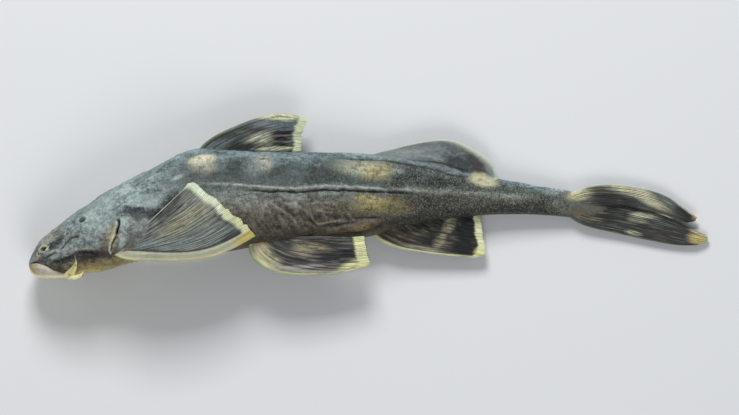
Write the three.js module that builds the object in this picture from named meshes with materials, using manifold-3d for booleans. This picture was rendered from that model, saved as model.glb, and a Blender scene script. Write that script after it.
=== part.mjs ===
// A dried mountain-stream catfish, stiff and whole, lying on its right side: one grown piece,
// with the head, body, barbels and fins in one solid.
// Lengths are in millimetres. +X runs from the snout to the tail, +Y from the belly to the back, and
// +Z points up, out of the left flank. Outlines are drawn with the snout tip at x = 0, the lip at
// y = 0 and the surface that the fish lies on at z = 0; at the end the fish is centred there.

import * as THREE from "three";
import { mergeVertices } from "three/addons/utils/BufferGeometryUtils.js";
import Module from "manifold-3d";

const wasm = await Module();
wasm.setup();

// Driving dimensions
const TOTAL_LENGTH = 190; // snout tip to the end of the lower tail lobe
const BODY_LENGTH = 163; // snout tip to the end of the flesh inside the tail fin
const SNOUT_HEIGHT = 4.3; // of the foremost point above the lip
const SNOUT_ROUND = 3.5; // length over which the snout rounds off, seen from the side
const SNOUT_BLUNT = 7; // the same, seen from above
const STUB_ROUND = 18; // length over which the flesh tapers out inside the tail fin
const STUB_MIDDLE = 20.3; // height at which it ends there

// A smooth line through a few [along, value] points, as a function of the distance along.
function line(points) {
  const slope = points.map((_, i) => {
    const before = points[Math.max(i - 1, 0)];
    const after = points[Math.min(i + 1, points.length - 1)];
    return (after[1] - before[1]) / (after[0] - before[0]);
  });
  return (x) => {
    const next = points.findIndex((point) => point[0] > x);
    const i = next < 0 ? points.length - 2 : Math.max(next - 1, 0);
    const [x0, y0] = points[i];
    const [x1, y1] = points[i + 1];
    const span = x1 - x0;
    const f = Math.min(Math.max((x - x0) / span, 0), 1);
    const g = 1 - f;
    return g * g * (1 + 2 * f) * y0 + f * f * (3 - 2 * f) * y1 + f * g * span * (g * slope[i] - f * slope[i + 1]);
  };
}

// The side outline, the half width and the height of the middle plane over the table
const backLine = line([
  [0, 7.2], [3.6, 11.2], [8.1, 15.0], [14.8, 20.0], [21.6, 24.5], [28.3, 28.1], [35, 31.3], [42, 35.0],
  [48, 36.7], [56, 36.3], [66, 35.8], [85, 35.6], [98, 35.0], [110, 33.6], [125, 29.8], [141.7, 26.4],
  [150, 25.3], [163, 23.4],
]);
const bellyLine = line([
  [0, 0.1], [7, 0.1], [12, 0.6], [15.4, 1.9], [20, 2.3], [30.5, 5.2], [49.6, 7.0], [66, 9.6], [85.7, 12.2],
  [95, 12.1], [105, 15.0], [125, 17.9], [141.7, 18.3], [150, 17.4], [156, 16.4], [163, 16.8],
]);
const widthLine = line([
  [0, 7.4], [7, 9.6], [15, 11.3], [25, 12.6], [38, 13.1], [50, 12.4], [66, 11.0], [85, 9.1], [105, 6.8],
  [125, 4.8], [142, 3.6], [155, 2.7], [163, 1.9],
]);
const middleLine = line([
  [0, 9.8], [12, 11.1], [25, 12.5], [38, 13.0], [50, 12.0], [66, 10.4], [85, 8.4], [105, 6.3], [125, 4.5],
  [142, 3.45], [163, 2.6], [TOTAL_LENGTH, 2.0],
]);

// Share of the depth where the flank is fullest
const fullestLine = line([[0, 0.4], [60, 0.41], [110, 0.47], [BODY_LENGTH, 0.5]]);
const BACK_FULLNESS = 2.0; // exponents of the section: 2 is an ellipse, more is squarer
const BELLY_FULLNESS = 2.7;

// Swellings and hollows of the flank: the gill cover, the shoulder behind it and the cheek
const SWELLINGS = [
  { along: 20.5, up: 13.5, size: 3.2, height: 0.45 },
  { along: 29.5, up: 15.5, size: 3.6, height: 0.7 },
  { along: 12.0, up: 8.6, size: 2.8, height: -0.5 },
];

// The rounding of an end: 0 at the very end and 1 once past its length.
function roundOff(distance, length) {
  const left = Math.max(1 - distance / length, 0);
  return Math.sqrt(Math.max(1 - left * left, 0));
}

function sectionAt(x) {
  const nose = roundOff(x, SNOUT_ROUND);
  const stub = roundOff(BODY_LENGTH - x, STUB_ROUND);
  const back = SNOUT_HEIGHT + (backLine(x) - SNOUT_HEIGHT) * nose;
  const belly = SNOUT_HEIGHT + (bellyLine(x) - SNOUT_HEIGHT) * nose;
  const top = STUB_MIDDLE + (back - STUB_MIDDLE) * stub;
  const bottom = STUB_MIDDLE + (belly - STUB_MIDDLE) * stub;
  return {
    top,
    bottom,
    widest: bottom + fullestLine(x) * (top - bottom),
    half: widthLine(x) * roundOff(x, SNOUT_BLUNT) * stub,
    middle: middleLine(x),
  };
}

// Height of the skin over the middle plane at a place seen from the side.
function flankReach(x, y) {
  const { top, bottom, widest, half } = sectionAt(x);
  const above = y >= widest;
  const share = Math.min(Math.abs(y - widest) / (above ? top - widest : widest - bottom), 1);
  const power = above ? BACK_FULLNESS : BELLY_FULLNESS;
  return half * (1 - share ** power) ** (1 / power);
}

// The groove between the two bands of flank muscle keeps to one angle round the body
const GROOVE_ANGLE = 24; // degrees round from the left flank towards the back
const GROOVE_DEPTH = 0.45;

function skinPoint(x, degrees) {
  const { top, bottom, widest, half, middle } = sectionAt(x);
  const side = Math.cos(THREE.MathUtils.degToRad(degrees));
  const up = Math.sin(THREE.MathUtils.degToRad(degrees));
  const power = 2 / (up >= 0 ? BACK_FULLNESS : BELLY_FULLNESS);
  const y = widest + Math.sign(up) * (up >= 0 ? top - widest : widest - bottom) * Math.abs(up) ** power;
  const onGroove = degrees === GROOVE_ANGLE || degrees === 180 - GROOVE_ANGLE;
  const fade = THREE.MathUtils.smoothstep(x, 40, 62) * (1 - THREE.MathUtils.smoothstep(x, 125, 150));
  let reach = half - (onGroove ? GROOVE_DEPTH * fade : 0);
  for (const swelling of SWELLINGS) {
    const distance = Math.hypot(x - swelling.along, y - swelling.up) / swelling.size;
    reach += swelling.height * Math.exp(-distance * distance) * Math.abs(side);
  }
  return [x, y, middle + Math.sign(side) * reach * Math.abs(side) ** power];
}

// A closed geometry from vertices and faces.
function closed(vertices, faces) {
  const geometry = new THREE.BufferGeometry();
  geometry.setAttribute("position", new THREE.Float32BufferAttribute(vertices.flat(), 3));
  geometry.setIndex(faces.flat());
  return geometry;
}

// A skin over rings of points, closed by a point before the first ring and one after the last.
function skinOver(first, rings, last) {
  const columns = rings[0].length;
  const end = 1 + rings.length * columns;
  const at = (ring, k) => 1 + ring * columns + (k % columns);
  const faces = [];
  for (let k = 0; k < columns; k++) {
    faces.push([0, at(0, k), at(0, k + 1)], [end, at(rings.length - 1, k + 1), at(rings.length - 1, k)]);
    for (let ring = 0; ring < rings.length - 1; ring++) {
      faces.push([at(ring, k), at(ring + 1, k), at(ring + 1, k + 1)]);
      faces.push([at(ring, k), at(ring + 1, k + 1), at(ring, k + 1)]);
    }
  }
  return closed([first, ...rings.flat(), last], faces);
}

function bodySkin() {
  const rings = 55;
  const columns = 30;
  const length = BODY_LENGTH - 0.4; // the last ring stands a little before the end of the flesh
  const drawn = Array.from({ length: rings }, (_, i) => {
    const along = length * (1 - Math.cos((Math.PI / 2) * ((i + 1) / rings)));
    return Array.from({ length: columns }, (_, k) => skinPoint(along, (360 / columns) * k));
  });
  return skinOver(
    [0, SNOUT_HEIGHT, middleLine(0)],
    drawn,
    [BODY_LENGTH, STUB_MIDDLE, middleLine(BODY_LENGTH)],
  );
}

// A rod swept along a path, [wide, thin] across; its wide side lies square to the given direction.
function sweep(points, across, facing, steps, corners) {
  const path = new THREE.CatmullRomCurve3(points.map((point) => new THREE.Vector3(...point)));
  const rings = Array.from({ length: steps + 1 }, (_, i) => {
    const ahead = path.getTangent(i / steps);
    const wideAxis = new THREE.Vector3().crossVectors(facing, ahead).normalize();
    const thinAxis = new THREE.Vector3().crossVectors(ahead, wideAxis);
    const [wide, thin] = across(i / steps);
    return Array.from({ length: corners }, (_, k) => {
      const angle = (2 * Math.PI * k) / corners;
      const corner = path.getPoint(i / steps).addScaledVector(wideAxis, 0.5 * wide * Math.cos(angle));
      return corner.addScaledVector(thinAxis, 0.5 * thin * Math.sin(angle)).toArray();
    });
  });
  return skinOver(path.getPoint(0).toArray(), rings, path.getPoint(1).toArray());
}

// A blade stretched over four drawn edges: leading ray, trailing ray, root and outer margin.
// The rays run from the root to the margin; the skin between two rays is thinner and its edge shorter.
const RAY_RELIEF = 0.13; // height of a ray over the skin beside it

function finBlade({ lead, trail, root, margin, columns, rows, thickness, height, scallop = 0 }) {
  const curve = (points) => new THREE.SplineCurve(points.map(([x, y]) => new THREE.Vector2(x, y)));
  const [leadRay, trailRay, rootEdge, outerEdge] = [lead, trail, root, margin].map(curve);
  const corners = [leadRay.getPoint(0), trailRay.getPoint(0), leadRay.getPoint(1), trailRay.getPoint(1)];
  const stretched = (u, v) => {
    const point = leadRay.getPointAt(u).multiplyScalar(1 - v).addScaledVector(trailRay.getPointAt(u), v);
    point.addScaledVector(rootEdge.getPointAt(v), 1 - u).addScaledVector(outerEdge.getPointAt(v), u);
    corners.forEach((corner, i) => {
      const share = (i < 2 ? 1 - u : u) * (i % 2 ? v : 1 - v);
      point.addScaledVector(corner, -share);
    });
    return point;
  };
  const upper = [];
  const lower = [];
  for (let row = 0; row <= rows; row++) {
    for (let column = 0; column <= columns; column++) {
      const u = row / rows;
      const v = column / columns;
      const between = column % 2;
      const point = stretched(u, v);
      if (scallop && row === rows && between) {
        point.add(stretched(0.9, v).sub(point).setLength(scallop));
      }
      const half = 0.5 * THREE.MathUtils.lerp(thickness[0], thickness[1], u) - RAY_RELIEF * between;
      const z = height(point.x, point.y, u, v);
      upper.push([point.x, point.y, z + half]);
      lower.push([point.x, point.y, z - half]);
    }
  }
  const faces = [];
  const width = columns + 1;
  const under = upper.length;
  const quad = (a, b, c, d) => faces.push([a, b, c], [a, c, d]);
  for (let row = 0; row < rows; row++) {
    for (let column = 0; column < columns; column++) {
      const a = row * width + column;
      const [b, c, d] = [a + 1, a + width + 1, a + width];
      faces.push([a, d, c], [a, c, b]);
      faces.push([under + a, under + c, under + d], [under + a, under + b, under + c]);
    }
  }
  for (let column = 0; column < columns; column++) {
    const last = rows * width + column;
    quad(under + column, column, column + 1, under + column + 1);
    quad(last, under + last, under + last + 1, last + 1);
  }
  for (let row = 0; row < rows; row++) {
    const first = row * width;
    const end = first + columns;
    quad(first, under + first, under + first + width, first + width);
    quad(under + end, end, end + width, under + end + width);
  }
  return closed([...upper, ...lower], faces);
}

// Fins in the middle plane
const dorsalFin = () => finBlade({
  lead: [[46.6, 35.0], [49.2, 38.2], [52.9, 40.7], [57.4, 42.8], [64.1, 45.3], [70.8, 46.5], [77.9, 45.3]],
  trail: [[68.5, 34.6], [72.4, 35.4], [76.2, 36.2]],
  root: [[46.6, 35.0], [57.0, 33.9], [68.5, 34.6]],
  margin: [[77.9, 45.3], [77.6, 43.5], [76.3, 40.5], [76.2, 36.2]],
  columns: 14,
  rows: 7,
  thickness: [2.4, 0.8],
  scallop: 0.5,
  height: (x, y, u, v) => middleLine(x) - 1.6 * u * u + 0.5 * Math.sin(2 * Math.PI * v) * u,
});

const adiposeFin = () => finBlade({
  lead: [[95.5, 33.4], [96.6, 35.1]],
  trail: [[129.0, 26.6], [131.2, 28.2]],
  root: [[95.5, 33.4], [110, 31.6], [129.0, 26.6]],
  margin: [[96.6, 35.1], [106.1, 37.8], [117, 39.2], [124.2, 36.6], [130.0, 32.3], [131.2, 28.2]],
  columns: 14,
  rows: 5,
  thickness: [3.0, 1.0],
  height: (x, y, u) => middleLine(x) + 0.6 * u * Math.sin(x / 9),
});

const analFin = () => finBlade({
  lead: [[94.5, 14.0], [97.4, 11.3], [100.4, 9.7], [104.4, 8.4], [113.4, 7.1], [125.0, 6.0]],
  trail: [[120.5, 19.4], [123.6, 18.8], [126.4, 17.8]],
  root: [[94.5, 14.0], [108.1, 17.4], [120.5, 19.4]],
  margin: [[125.0, 6.0], [127.4, 7.1], [127.7, 9.4], [127.0, 13.3], [126.4, 17.8]],
  columns: 18,
  rows: 6,
  thickness: [2.2, 0.8],
  scallop: 0.4,
  height: (x, y, u, v) => middleLine(x) - 0.5 * u + 0.4 * Math.sin(3 * Math.PI * v) * u,
});

// The two lobes of the tail fin, folded together so that the upper lies over the lower
const LOBE_LIFT = 0.55; // of each lobe from the middle plane

const upperTailLobe = () => finBlade({
  lead: [[151.5, 24.2], [156.4, 26.2], [162.7, 26.8], [171.1, 25.9], [178.1, 23.9], [182.8, 20.8], [187.3, 17.4]],
  trail: [[153.0, 21.0], [165.5, 20.6], [173.9, 19.0], [180.0, 17.2], [184.6, 15.9]],
  root: [[151.5, 24.2], [152.4, 22.6], [153.0, 21.0]],
  margin: [[187.3, 17.4], [186.6, 16.4], [184.6, 15.9]],
  columns: 14,
  rows: 8,
  thickness: [1.9, 0.8],
  height: (x, y, u, v) => middleLine(x) + LOBE_LIFT * (0.2 + v) * Math.min(3 * u, 1),
});

const lowerTailLobe = () => finBlade({
  lead: [[150.0, 18.7], [153.7, 16.0], [158.2, 14.4], [165.5, 12.8], [175.3, 10.7], [182.3, 9.6], [187.0, 9.6]],
  trail: [[152.5, 21.4], [165.5, 21.7], [175.3, 19.0], [181.2, 16.4], [185.0, 14.6], [187.3, 13.3]],
  root: [[150.0, 18.7], [151.6, 20.0], [152.5, 21.4]],
  margin: [[187.0, 9.6], [190.0, 10.6], [189.9, 12.3], [187.3, 13.3]],
  columns: 18,
  rows: 8,
  thickness: [1.9, 0.8],
  height: (x, y, u, v) => middleLine(x) - LOBE_LIFT * (0.2 + v) * Math.min(3 * u, 1),
});

// Paired fins: the left one of each pair lies over the shown flank, the right one under the fish
const PECTORAL_LIFT = 0.9; // mean gap between the left fin and the flank
const PECTORAL_WRAP = 1.5; // how much flatter than the flank the fin bends round it
const PRESSED_FIN = 0.45; // height of a pressed fin's middle over the table

function pectoralOverFlank(x, y, u, v) {
  const { top, widest, half, middle } = sectionAt(x);
  const round = Math.min(Math.abs(y - widest) / (PECTORAL_WRAP * (top - widest)), 0.95);
  const free = THREE.MathUtils.clamp((u - 0.2 * v) / (0.15 + 0.2 * v), 0, 1); // 0 where it lies under the skin
  const lift = PECTORAL_LIFT * (0.6 + 1.3 * v) * free - 1.6 * (1 - free);
  return middle + (half + lift) * Math.sqrt(1 - round * round);
}

const pectoralFin = (height) => finBlade({
  lead: [[24.2, 7.0], [27.5, 5.7], [33.9, 5.2], [43.7, 5.2], [51.2, 6.3], [57.7, 8.9], [63.6, 12.2]],
  trail: [[28.0, 10.4], [32.0, 14.4], [35.7, 17.9], [39.6, 21.5], [43.4, 25.1], [44.8, 26.9]],
  root: [[24.2, 7.0], [26.4, 8.4], [28.0, 10.4]],
  margin: [[63.6, 12.2], [60.7, 15.5], [57.0, 18.5], [53.0, 22.2], [48.9, 25.1], [46.6, 27.0], [44.8, 26.9]],
  columns: 24,
  rows: 7,
  thickness: [1.8, 0.8],
  scallop: 0.6,
  height,
});
const leftPectoralFin = () => pectoralFin(pectoralOverFlank);
const rightPectoralFin = () => pectoralFin((x, y, u) => PRESSED_FIN + 2.2 * Math.max(1 - 4 * u, 0) ** 2);

const PELVIC_SPREAD = 5.4; // distance of each pelvic fin's root from the middle plane

const pelvicFin = (height) => finBlade({
  lead: [[61.6, 11.2], [62.0, 7.2], [65.0, 3.9], [69.4, 2.0], [75.9, 1.2], [83.7, 1.4], [90.4, 2.6]],
  trail: [[69.0, 12.6], [78.7, 12.3], [89.9, 12.0], [93.8, 12.2]],
  root: [[61.6, 11.2], [65.2, 12.2], [69.0, 12.6]],
  margin: [[90.4, 2.6], [94.9, 4.1], [94.9, 6.9], [94.1, 9.7], [93.8, 12.2]],
  columns: 14,
  rows: 8,
  thickness: [1.8, 0.8],
  scallop: 0.5,
  height,
});
const leftPelvicFin = () => pelvicFin((x, y, u, v) => middleLine(x) + PELVIC_SPREAD + 1.1 * u - 1.2 * (1 - v) * u);
const rightPelvicFin = () => pelvicFin((x, y, u) => Math.max(middleLine(x) - PELVIC_SPREAD - 3.4 * u, PRESSED_FIN));

// Flattened tapering barbels, by points [along, up, out from the middle plane]
const BARBELS = [
  { points: [[6.5, 1.2, 6.6], [9.8, 2.2, 8.9], [12.2, 4.0, 10.2], [13.6, 6.2, 10.9]], width: 2.8 }, // upper jaw
  { points: [[10.4, 1.2, 6.4], [12.6, 0.9, 7.2], [15.4, 2.4, 8.2]], width: 1.8 }, // outer chin
  { points: [[10.6, 1.5, 2.6], [13.0, 0.8, 2.9], [15.2, 1.5, 3.2]], width: 1.2 }, // inner chin
];

function barbel({ points, width }, side) {
  const placed = points.map(([x, y, out]) => [x, y, middleLine(x) + side * out]);
  const across = (t) => [width * (1 - 0.8 * t * t), 0.5 * width * (1 - 0.8 * t * t)];
  return sweep(placed, across, new THREE.Vector3(0, 0, side), 6, 6);
}

const EYE = { along: 15.1, up: 16.8, radius: 1.15, stands: 0.4 };

function eyeDome(side) {
  const dome = new THREE.SphereGeometry(EYE.radius, 10, 6).scale(1.35, 1, 1);
  const centre = flankReach(EYE.along, EYE.up) - EYE.radius + EYE.stands;
  return dome.translate(EYE.along, EYE.up, middleLine(EYE.along) + side * centre);
}

// Cuts: a gill slit and two nostrils on each side, and the groove over the upper lip
const GILL_SLIT = [[25.6, 17.6], [25.3, 15.0], [24.5, 12.4], [23.3, 9.8], [22.7, 7.4]];
const GILL_WIDTH = 0.7;
const GILL_DEPTH = 1.5;

function gillCut(side) {
  const steps = 7;
  const curve = new THREE.SplineCurve(GILL_SLIT.map(([x, y]) => new THREE.Vector2(x, y)));
  const vertices = [];
  for (let i = 0; i <= steps; i++) {
    const { x, y } = curve.getPointAt(i / steps);
    const half = 0.5 * GILL_WIDTH * (0.3 + 0.7 * Math.sin((Math.PI * i) / steps));
    const outside = middleLine(x) + side * (flankReach(x, y) + GILL_DEPTH);
    const inside = middleLine(x) + side * (flankReach(x, y) - GILL_DEPTH);
    vertices.push([x - half, y, outside], [x + half, y, outside], [x + half, y, inside], [x - half, y, inside]);
  }
  const end = 4 * steps;
  const faces = [[0, 1, 2], [0, 2, 3], [end, end + 2, end + 1], [end, end + 3, end + 2]];
  for (let i = 0; i < end; i += 4) {
    for (let k = 0; k < 4; k++) {
      const [a, b] = [i + k, i + ((k + 1) % 4)];
      faces.push([a, a + 4, b + 4], [a, b + 4, b]);
    }
  }
  return closed(vertices, faces);
}

const NOSTRILS = [[4.6, 8.3], [3.0, 6.6]];
const NOSTRIL_WIDTH = 0.9;
const NOSTRIL_DEPTH = 1.1;

function nostrilCut([x, y], side) {
  const pit = new THREE.CylinderGeometry(0.5 * NOSTRIL_WIDTH, 0.5 * NOSTRIL_WIDTH, 2 * NOSTRIL_DEPTH, 8);
  return pit.rotateX(Math.PI / 2).translate(x, y, middleLine(x) + side * flankReach(x, y));
}

const lipLine = line([[0, 5.0], [2.2, 4.8], [5, 3.9], [7.6, 2.7], [9.8, 1.7]]);

function lipGroove() {
  const stations = [9.4, 7, 5, 3.2, 1.7, 0.6];
  const onSide = (x, side) => [x, lipLine(x), middleLine(x) + side * flankReach(x, lipLine(x))];
  const points = [
    ...stations.map((x) => onSide(x, 1)),
    [0.05, lipLine(0), middleLine(0)],
    ...stations.toReversed().map((x) => onSide(x, -1)),
  ];
  return sweep(points, () => [1.0, 0.55], new THREE.Vector3(0, 1, 0), 22, 5);
}

// The crescent of the mouth under the snout
function mouthCut() {
  const width = 9;
  const gape = 0.7;
  const depth = 1.4;
  const shape = new THREE.Shape();
  shape.absarc(0, 0, width / 2, -Math.PI / 2, Math.PI / 2, false);
  shape.absarc(-gape, 0, width / 2, Math.PI / 2, -Math.PI / 2, true);
  const cut = new THREE.ExtrudeGeometry(shape, { depth: 2 * depth, bevelEnabled: false, curveSegments: 10 });
  return cut.rotateX(Math.PI / 2).rotateY(Math.PI).translate(9.5, depth, middleLine(9.5));
}

// Cross folds of the holding pad on the chest
const FOLDS = 9;
const FOLD_PITCH = 1.9;
const FOLD_START = 27.5; // distance of the first from the snout
const FOLD_SPAN = 12; // width of the pad

function foldCut(_, i) {
  const x = FOLD_START + i * FOLD_PITCH;
  const span = FOLD_SPAN * Math.sqrt(Math.sin((Math.PI * (i + 1)) / (FOLDS + 1)));
  return new THREE.BoxGeometry(0.55, 1.3, span).translate(x, bellyLine(x) - 0.05, middleLine(x));
}

// A closed geometry as a solid that can be joined and cut, turned right side out if need be.
function solid(geometry) {
  const bare = new THREE.BufferGeometry().setAttribute("position", geometry.getAttribute("position"));
  const merged = mergeVertices(bare.setIndex(geometry.getIndex()), 1e-4);
  const build = (triVerts) =>
    new wasm.Manifold(new wasm.Mesh({ numProp: 3, vertProperties: merged.attributes.position.array, triVerts }));
  const triangles = new Uint32Array(merged.index.array);
  const made = build(triangles);
  return made.volume() > 0 ? made : build(triangles.reverse());
}

function geometryOf(made) {
  const { vertProperties, triVerts } = made.getMesh();
  const geometry = new THREE.BufferGeometry();
  geometry.setAttribute("position", new THREE.BufferAttribute(vertProperties, 3));
  geometry.setIndex(new THREE.BufferAttribute(triVerts, 1));
  return geometry;
}

function wholeFish() {
  const sides = [1, -1];
  const grown = [
    bodySkin(), dorsalFin(), adiposeFin(), analFin(), upperTailLobe(), lowerTailLobe(),
    leftPectoralFin(), rightPectoralFin(), leftPelvicFin(), rightPelvicFin(),
    ...sides.map(eyeDome),
    ...BARBELS.flatMap((drawn) => sides.map((side) => barbel(drawn, side))),
  ];
  const cuts = [
    lipGroove(), mouthCut(),
    ...sides.map(gillCut),
    ...NOSTRILS.flatMap((place) => sides.map((side) => nostrilCut(place, side))),
    ...Array.from({ length: FOLDS }, foldCut),
    new THREE.BoxGeometry(3 * TOTAL_LENGTH, TOTAL_LENGTH, 20).translate(0, 0, -10), // the table
  ];
  const joined = grown.map(solid).reduce((whole, piece) => whole.add(piece));
  return geometryOf(cuts.map(solid).reduce((whole, piece) => whole.subtract(piece), joined));
}

const geometry = wholeFish();
geometry.computeBoundingBox();
const centre = geometry.boundingBox.getCenter(new THREE.Vector3());
geometry.translate(-centre.x, -centre.y, -geometry.boundingBox.min.z);
geometry.computeVertexNormals();

const driedSkin = new THREE.MeshStandardMaterial({ color: 0x656d69, roughness: 0.55, metalness: 0 });
const fish = new THREE.Mesh(geometry, driedSkin);
fish.name = "dried_catfish";

const group = new THREE.Group();
group.add(fish);

export default group;
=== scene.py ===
import itertools
import math

import bpy
import numpy as np
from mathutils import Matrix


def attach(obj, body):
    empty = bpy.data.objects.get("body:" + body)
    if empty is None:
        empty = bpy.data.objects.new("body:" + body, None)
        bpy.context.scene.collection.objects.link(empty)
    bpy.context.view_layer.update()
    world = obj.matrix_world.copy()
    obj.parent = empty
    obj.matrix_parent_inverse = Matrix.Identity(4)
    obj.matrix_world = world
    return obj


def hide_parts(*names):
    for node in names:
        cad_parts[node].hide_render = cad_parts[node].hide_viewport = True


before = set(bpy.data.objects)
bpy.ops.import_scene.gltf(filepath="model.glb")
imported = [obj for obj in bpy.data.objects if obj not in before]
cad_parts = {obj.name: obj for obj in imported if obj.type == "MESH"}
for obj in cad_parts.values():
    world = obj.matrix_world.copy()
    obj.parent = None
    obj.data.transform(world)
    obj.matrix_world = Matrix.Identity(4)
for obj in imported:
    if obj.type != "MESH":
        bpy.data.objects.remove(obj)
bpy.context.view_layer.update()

# Body: the flesh and skin of a slender mountain-stream catfish, dried whole on its right side.
# It was lofted through sections from the snout to the tail root, and the skin has since shrunk
# into furrows over the skull, the gill cover and the belly wall. All lengths are in millimetres.
NODE = "dried_catfish"
BODY_LENGTH = 163.0
TOTAL_LENGTH = 190.0
SNOUT_HEIGHT = 4.3
SNOUT_ROUND = 3.5
SNOUT_BLUNT = 7.0
STUB_ROUND = 18.0
STUB_MIDDLE = 20.3
BACK_FULLNESS = 2.0
BELLY_FULLNESS = 2.7
DRAWN_MIDDLE = (95.15, 23.29)  # where the frame's origin lies, from the snout tip and the lip
MM = 0.001


def in_frame(points):
    """Points drawn from the snout tip and the lip, moved to the frame and turned to metres."""
    return (np.asarray(points, float) - np.array([*DRAWN_MIDDLE, 0.0])) * MM


def line(points):
    """A smooth line through a few (along, value) points."""
    along, values = np.array(points, float).T
    slopes = np.empty_like(values)
    slopes[1:-1] = (values[2:] - values[:-2]) / (along[2:] - along[:-2])
    slopes[0] = (values[1] - values[0]) / (along[1] - along[0])
    slopes[-1] = (values[-1] - values[-2]) / (along[-1] - along[-2])

    def value(x):
        x = np.clip(x, along[0], along[-1])
        i = np.clip(np.searchsorted(along, x, side="right") - 1, 0, len(along) - 2)
        span = along[i + 1] - along[i]
        f = (x - along[i]) / span
        g = 1 - f
        bend = f * g * span * (g * slopes[i] - f * slopes[i + 1])
        return g * g * (1 + 2 * f) * values[i] + f * f * (3 - 2 * f) * values[i + 1] + bend

    return value


back_line = line([
    (0, 7.2), (3.6, 11.2), (8.1, 15.0), (14.8, 20.0), (21.6, 24.5), (28.3, 28.1), (35, 31.3), (42, 35.0),
    (48, 36.7), (56, 36.3), (66, 35.8), (85, 35.6), (98, 35.0), (110, 33.6), (125, 29.8), (141.7, 26.4),
    (150, 25.3), (BODY_LENGTH, 23.4),
])
belly_line = line([
    (0, 0.55), (7, 0.5), (12, 0.8), (15.4, 1.9), (20, 2.3), (30.5, 5.2), (49.6, 7.0), (66, 9.6),
    (85.7, 12.2), (95, 12.1), (105, 15.0), (125, 17.9), (141.7, 18.3), (150, 17.4), (156, 16.4),
    (BODY_LENGTH, 16.8),
])
width_line = line([
    (0, 7.4), (7, 9.6), (15, 11.3), (25, 12.6), (38, 13.1), (50, 12.4), (66, 11.0), (85, 9.1), (105, 6.8),
    (125, 4.8), (142, 3.6), (150, 2.7), (156, 1.8), (BODY_LENGTH, 0.9),
])
middle_line = line([
    (0, 9.8), (12, 11.1), (25, 12.5), (38, 13.0), (50, 12.0), (66, 10.4), (85, 8.4), (105, 6.3),
    (125, 4.5), (142, 3.45), (BODY_LENGTH, 2.6), (TOTAL_LENGTH, 2.0),
])
fullest_line = line([(0, 0.4), (60, 0.41), (110, 0.47), (BODY_LENGTH, 0.5)])


def round_off(distance, length):
    """The rounding of an end: 0 at the very end and 1 once past its length."""
    left = np.maximum(1 - distance / length, 0)
    return np.sqrt(np.maximum(1 - left * left, 0))


def ease(value, start, end):
    """0 before start and 1 past end, with a smooth rise between them."""
    share = np.clip((value - start) / (end - start), 0, 1)
    return share * share * (3 - 2 * share)


def section_at(x):
    """Top, bottom, fullest height, half width and middle of the section at x."""
    nose = round_off(x, SNOUT_ROUND)
    stub = round_off(BODY_LENGTH - x, STUB_ROUND)
    back = SNOUT_HEIGHT + (back_line(x) - SNOUT_HEIGHT) * nose
    belly = SNOUT_HEIGHT + (belly_line(x) - SNOUT_HEIGHT) * nose
    top = STUB_MIDDLE + (back - STUB_MIDDLE) * stub
    bottom = STUB_MIDDLE + (belly - STUB_MIDDLE) * stub
    fullest = bottom + fullest_line(x) * (top - bottom)
    return top, bottom, fullest, width_line(x) * round_off(x, SNOUT_BLUNT) * stub, middle_line(x)


def flank_reach(x, y):
    """How far the skin stands from the middle plane at a place seen from the side."""
    top, bottom, fullest, half, _ = section_at(x)
    above = y >= fullest
    depth = np.maximum(np.where(above, top - fullest, fullest - bottom), 0.001)  # also where flesh ends
    share = np.clip(np.abs(y - fullest) / depth, 0, 1)
    power = np.where(above, BACK_FULLNESS, BELLY_FULLNESS)
    return half * (1 - share ** power) ** (1 / power)


def around(x, angle):
    """The plain section: 0 is the left flank, a quarter turn the back."""
    top, bottom, fullest, half, middle = section_at(x)
    side, up = np.cos(angle), np.sin(angle)
    power = np.where(up >= 0, 2 / BACK_FULLNESS, 2 / BELLY_FULLNESS)
    reach = np.where(up >= 0, top - fullest, fullest - bottom)
    y = fullest + np.sign(up) * reach * np.abs(up) ** power
    z = middle + np.sign(side) * half * np.abs(side) ** power
    return y, z


def lumps(seed):
    """Smooth random lumps between -1 and 1, one to each unit, the same on every run."""
    size = 32
    table = np.random.default_rng(seed).uniform(-1, 1, (size, size, size))

    def at(x, y, z=0.0):
        x, y, z = np.broadcast_arrays(x, y, z)
        cells = [np.floor(a).astype(int) for a in (x, y, z)]
        parts = [ease(a - c, 0, 1) for a, c in zip((x, y, z), cells)]
        total = np.zeros(x.shape)
        for corner in itertools.product((0, 1), repeat=3):
            weight = 1.0
            for part, far in zip(parts, corner):
                weight = weight * (part if far else 1 - part)
            total += weight * table[tuple((c + far) % size for c, far in zip(cells, corner))]
        return total

    return at


def smooth_path(points, steps=6):
    """More points on a smooth curve through the given ones."""
    points = np.array(points, float)
    padded = np.vstack([points[:1], points, points[-1:]])
    drawn = []
    for a, b, c, d in zip(padded, padded[1:], padded[2:], padded[3:]):
        for t in np.arange(steps) / steps:
            bend = 2 * a - 5 * b + 4 * c - d + t * (3 * (b - c) + d - a)
            drawn.append(b + 0.5 * t * (c - a + t * bend))
    return np.array(drawn + [points[-1]])


def off_path(points, x, y):
    """Distance from a path drawn on the flank, and the share of the path at the nearest place."""
    path = smooth_path(points)
    nearest = np.full(x.shape, np.inf)
    share = np.zeros(x.shape)
    for i, (start, end) in enumerate(zip(path, path[1:])):
        run = end - start
        t = ((x - start[0]) * run[0] + (y - start[1]) * run[1]) / max(run @ run, 1e-9)
        t = np.clip(t, 0, 1)
        distance = np.hypot(x - start[0] - t * run[0], y - start[1] - t * run[1])
        closer = distance < nearest
        nearest = np.where(closer, distance, nearest)
        share = np.where(closer, (i + t) / (len(path) - 1), share)
    return nearest, share


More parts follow.
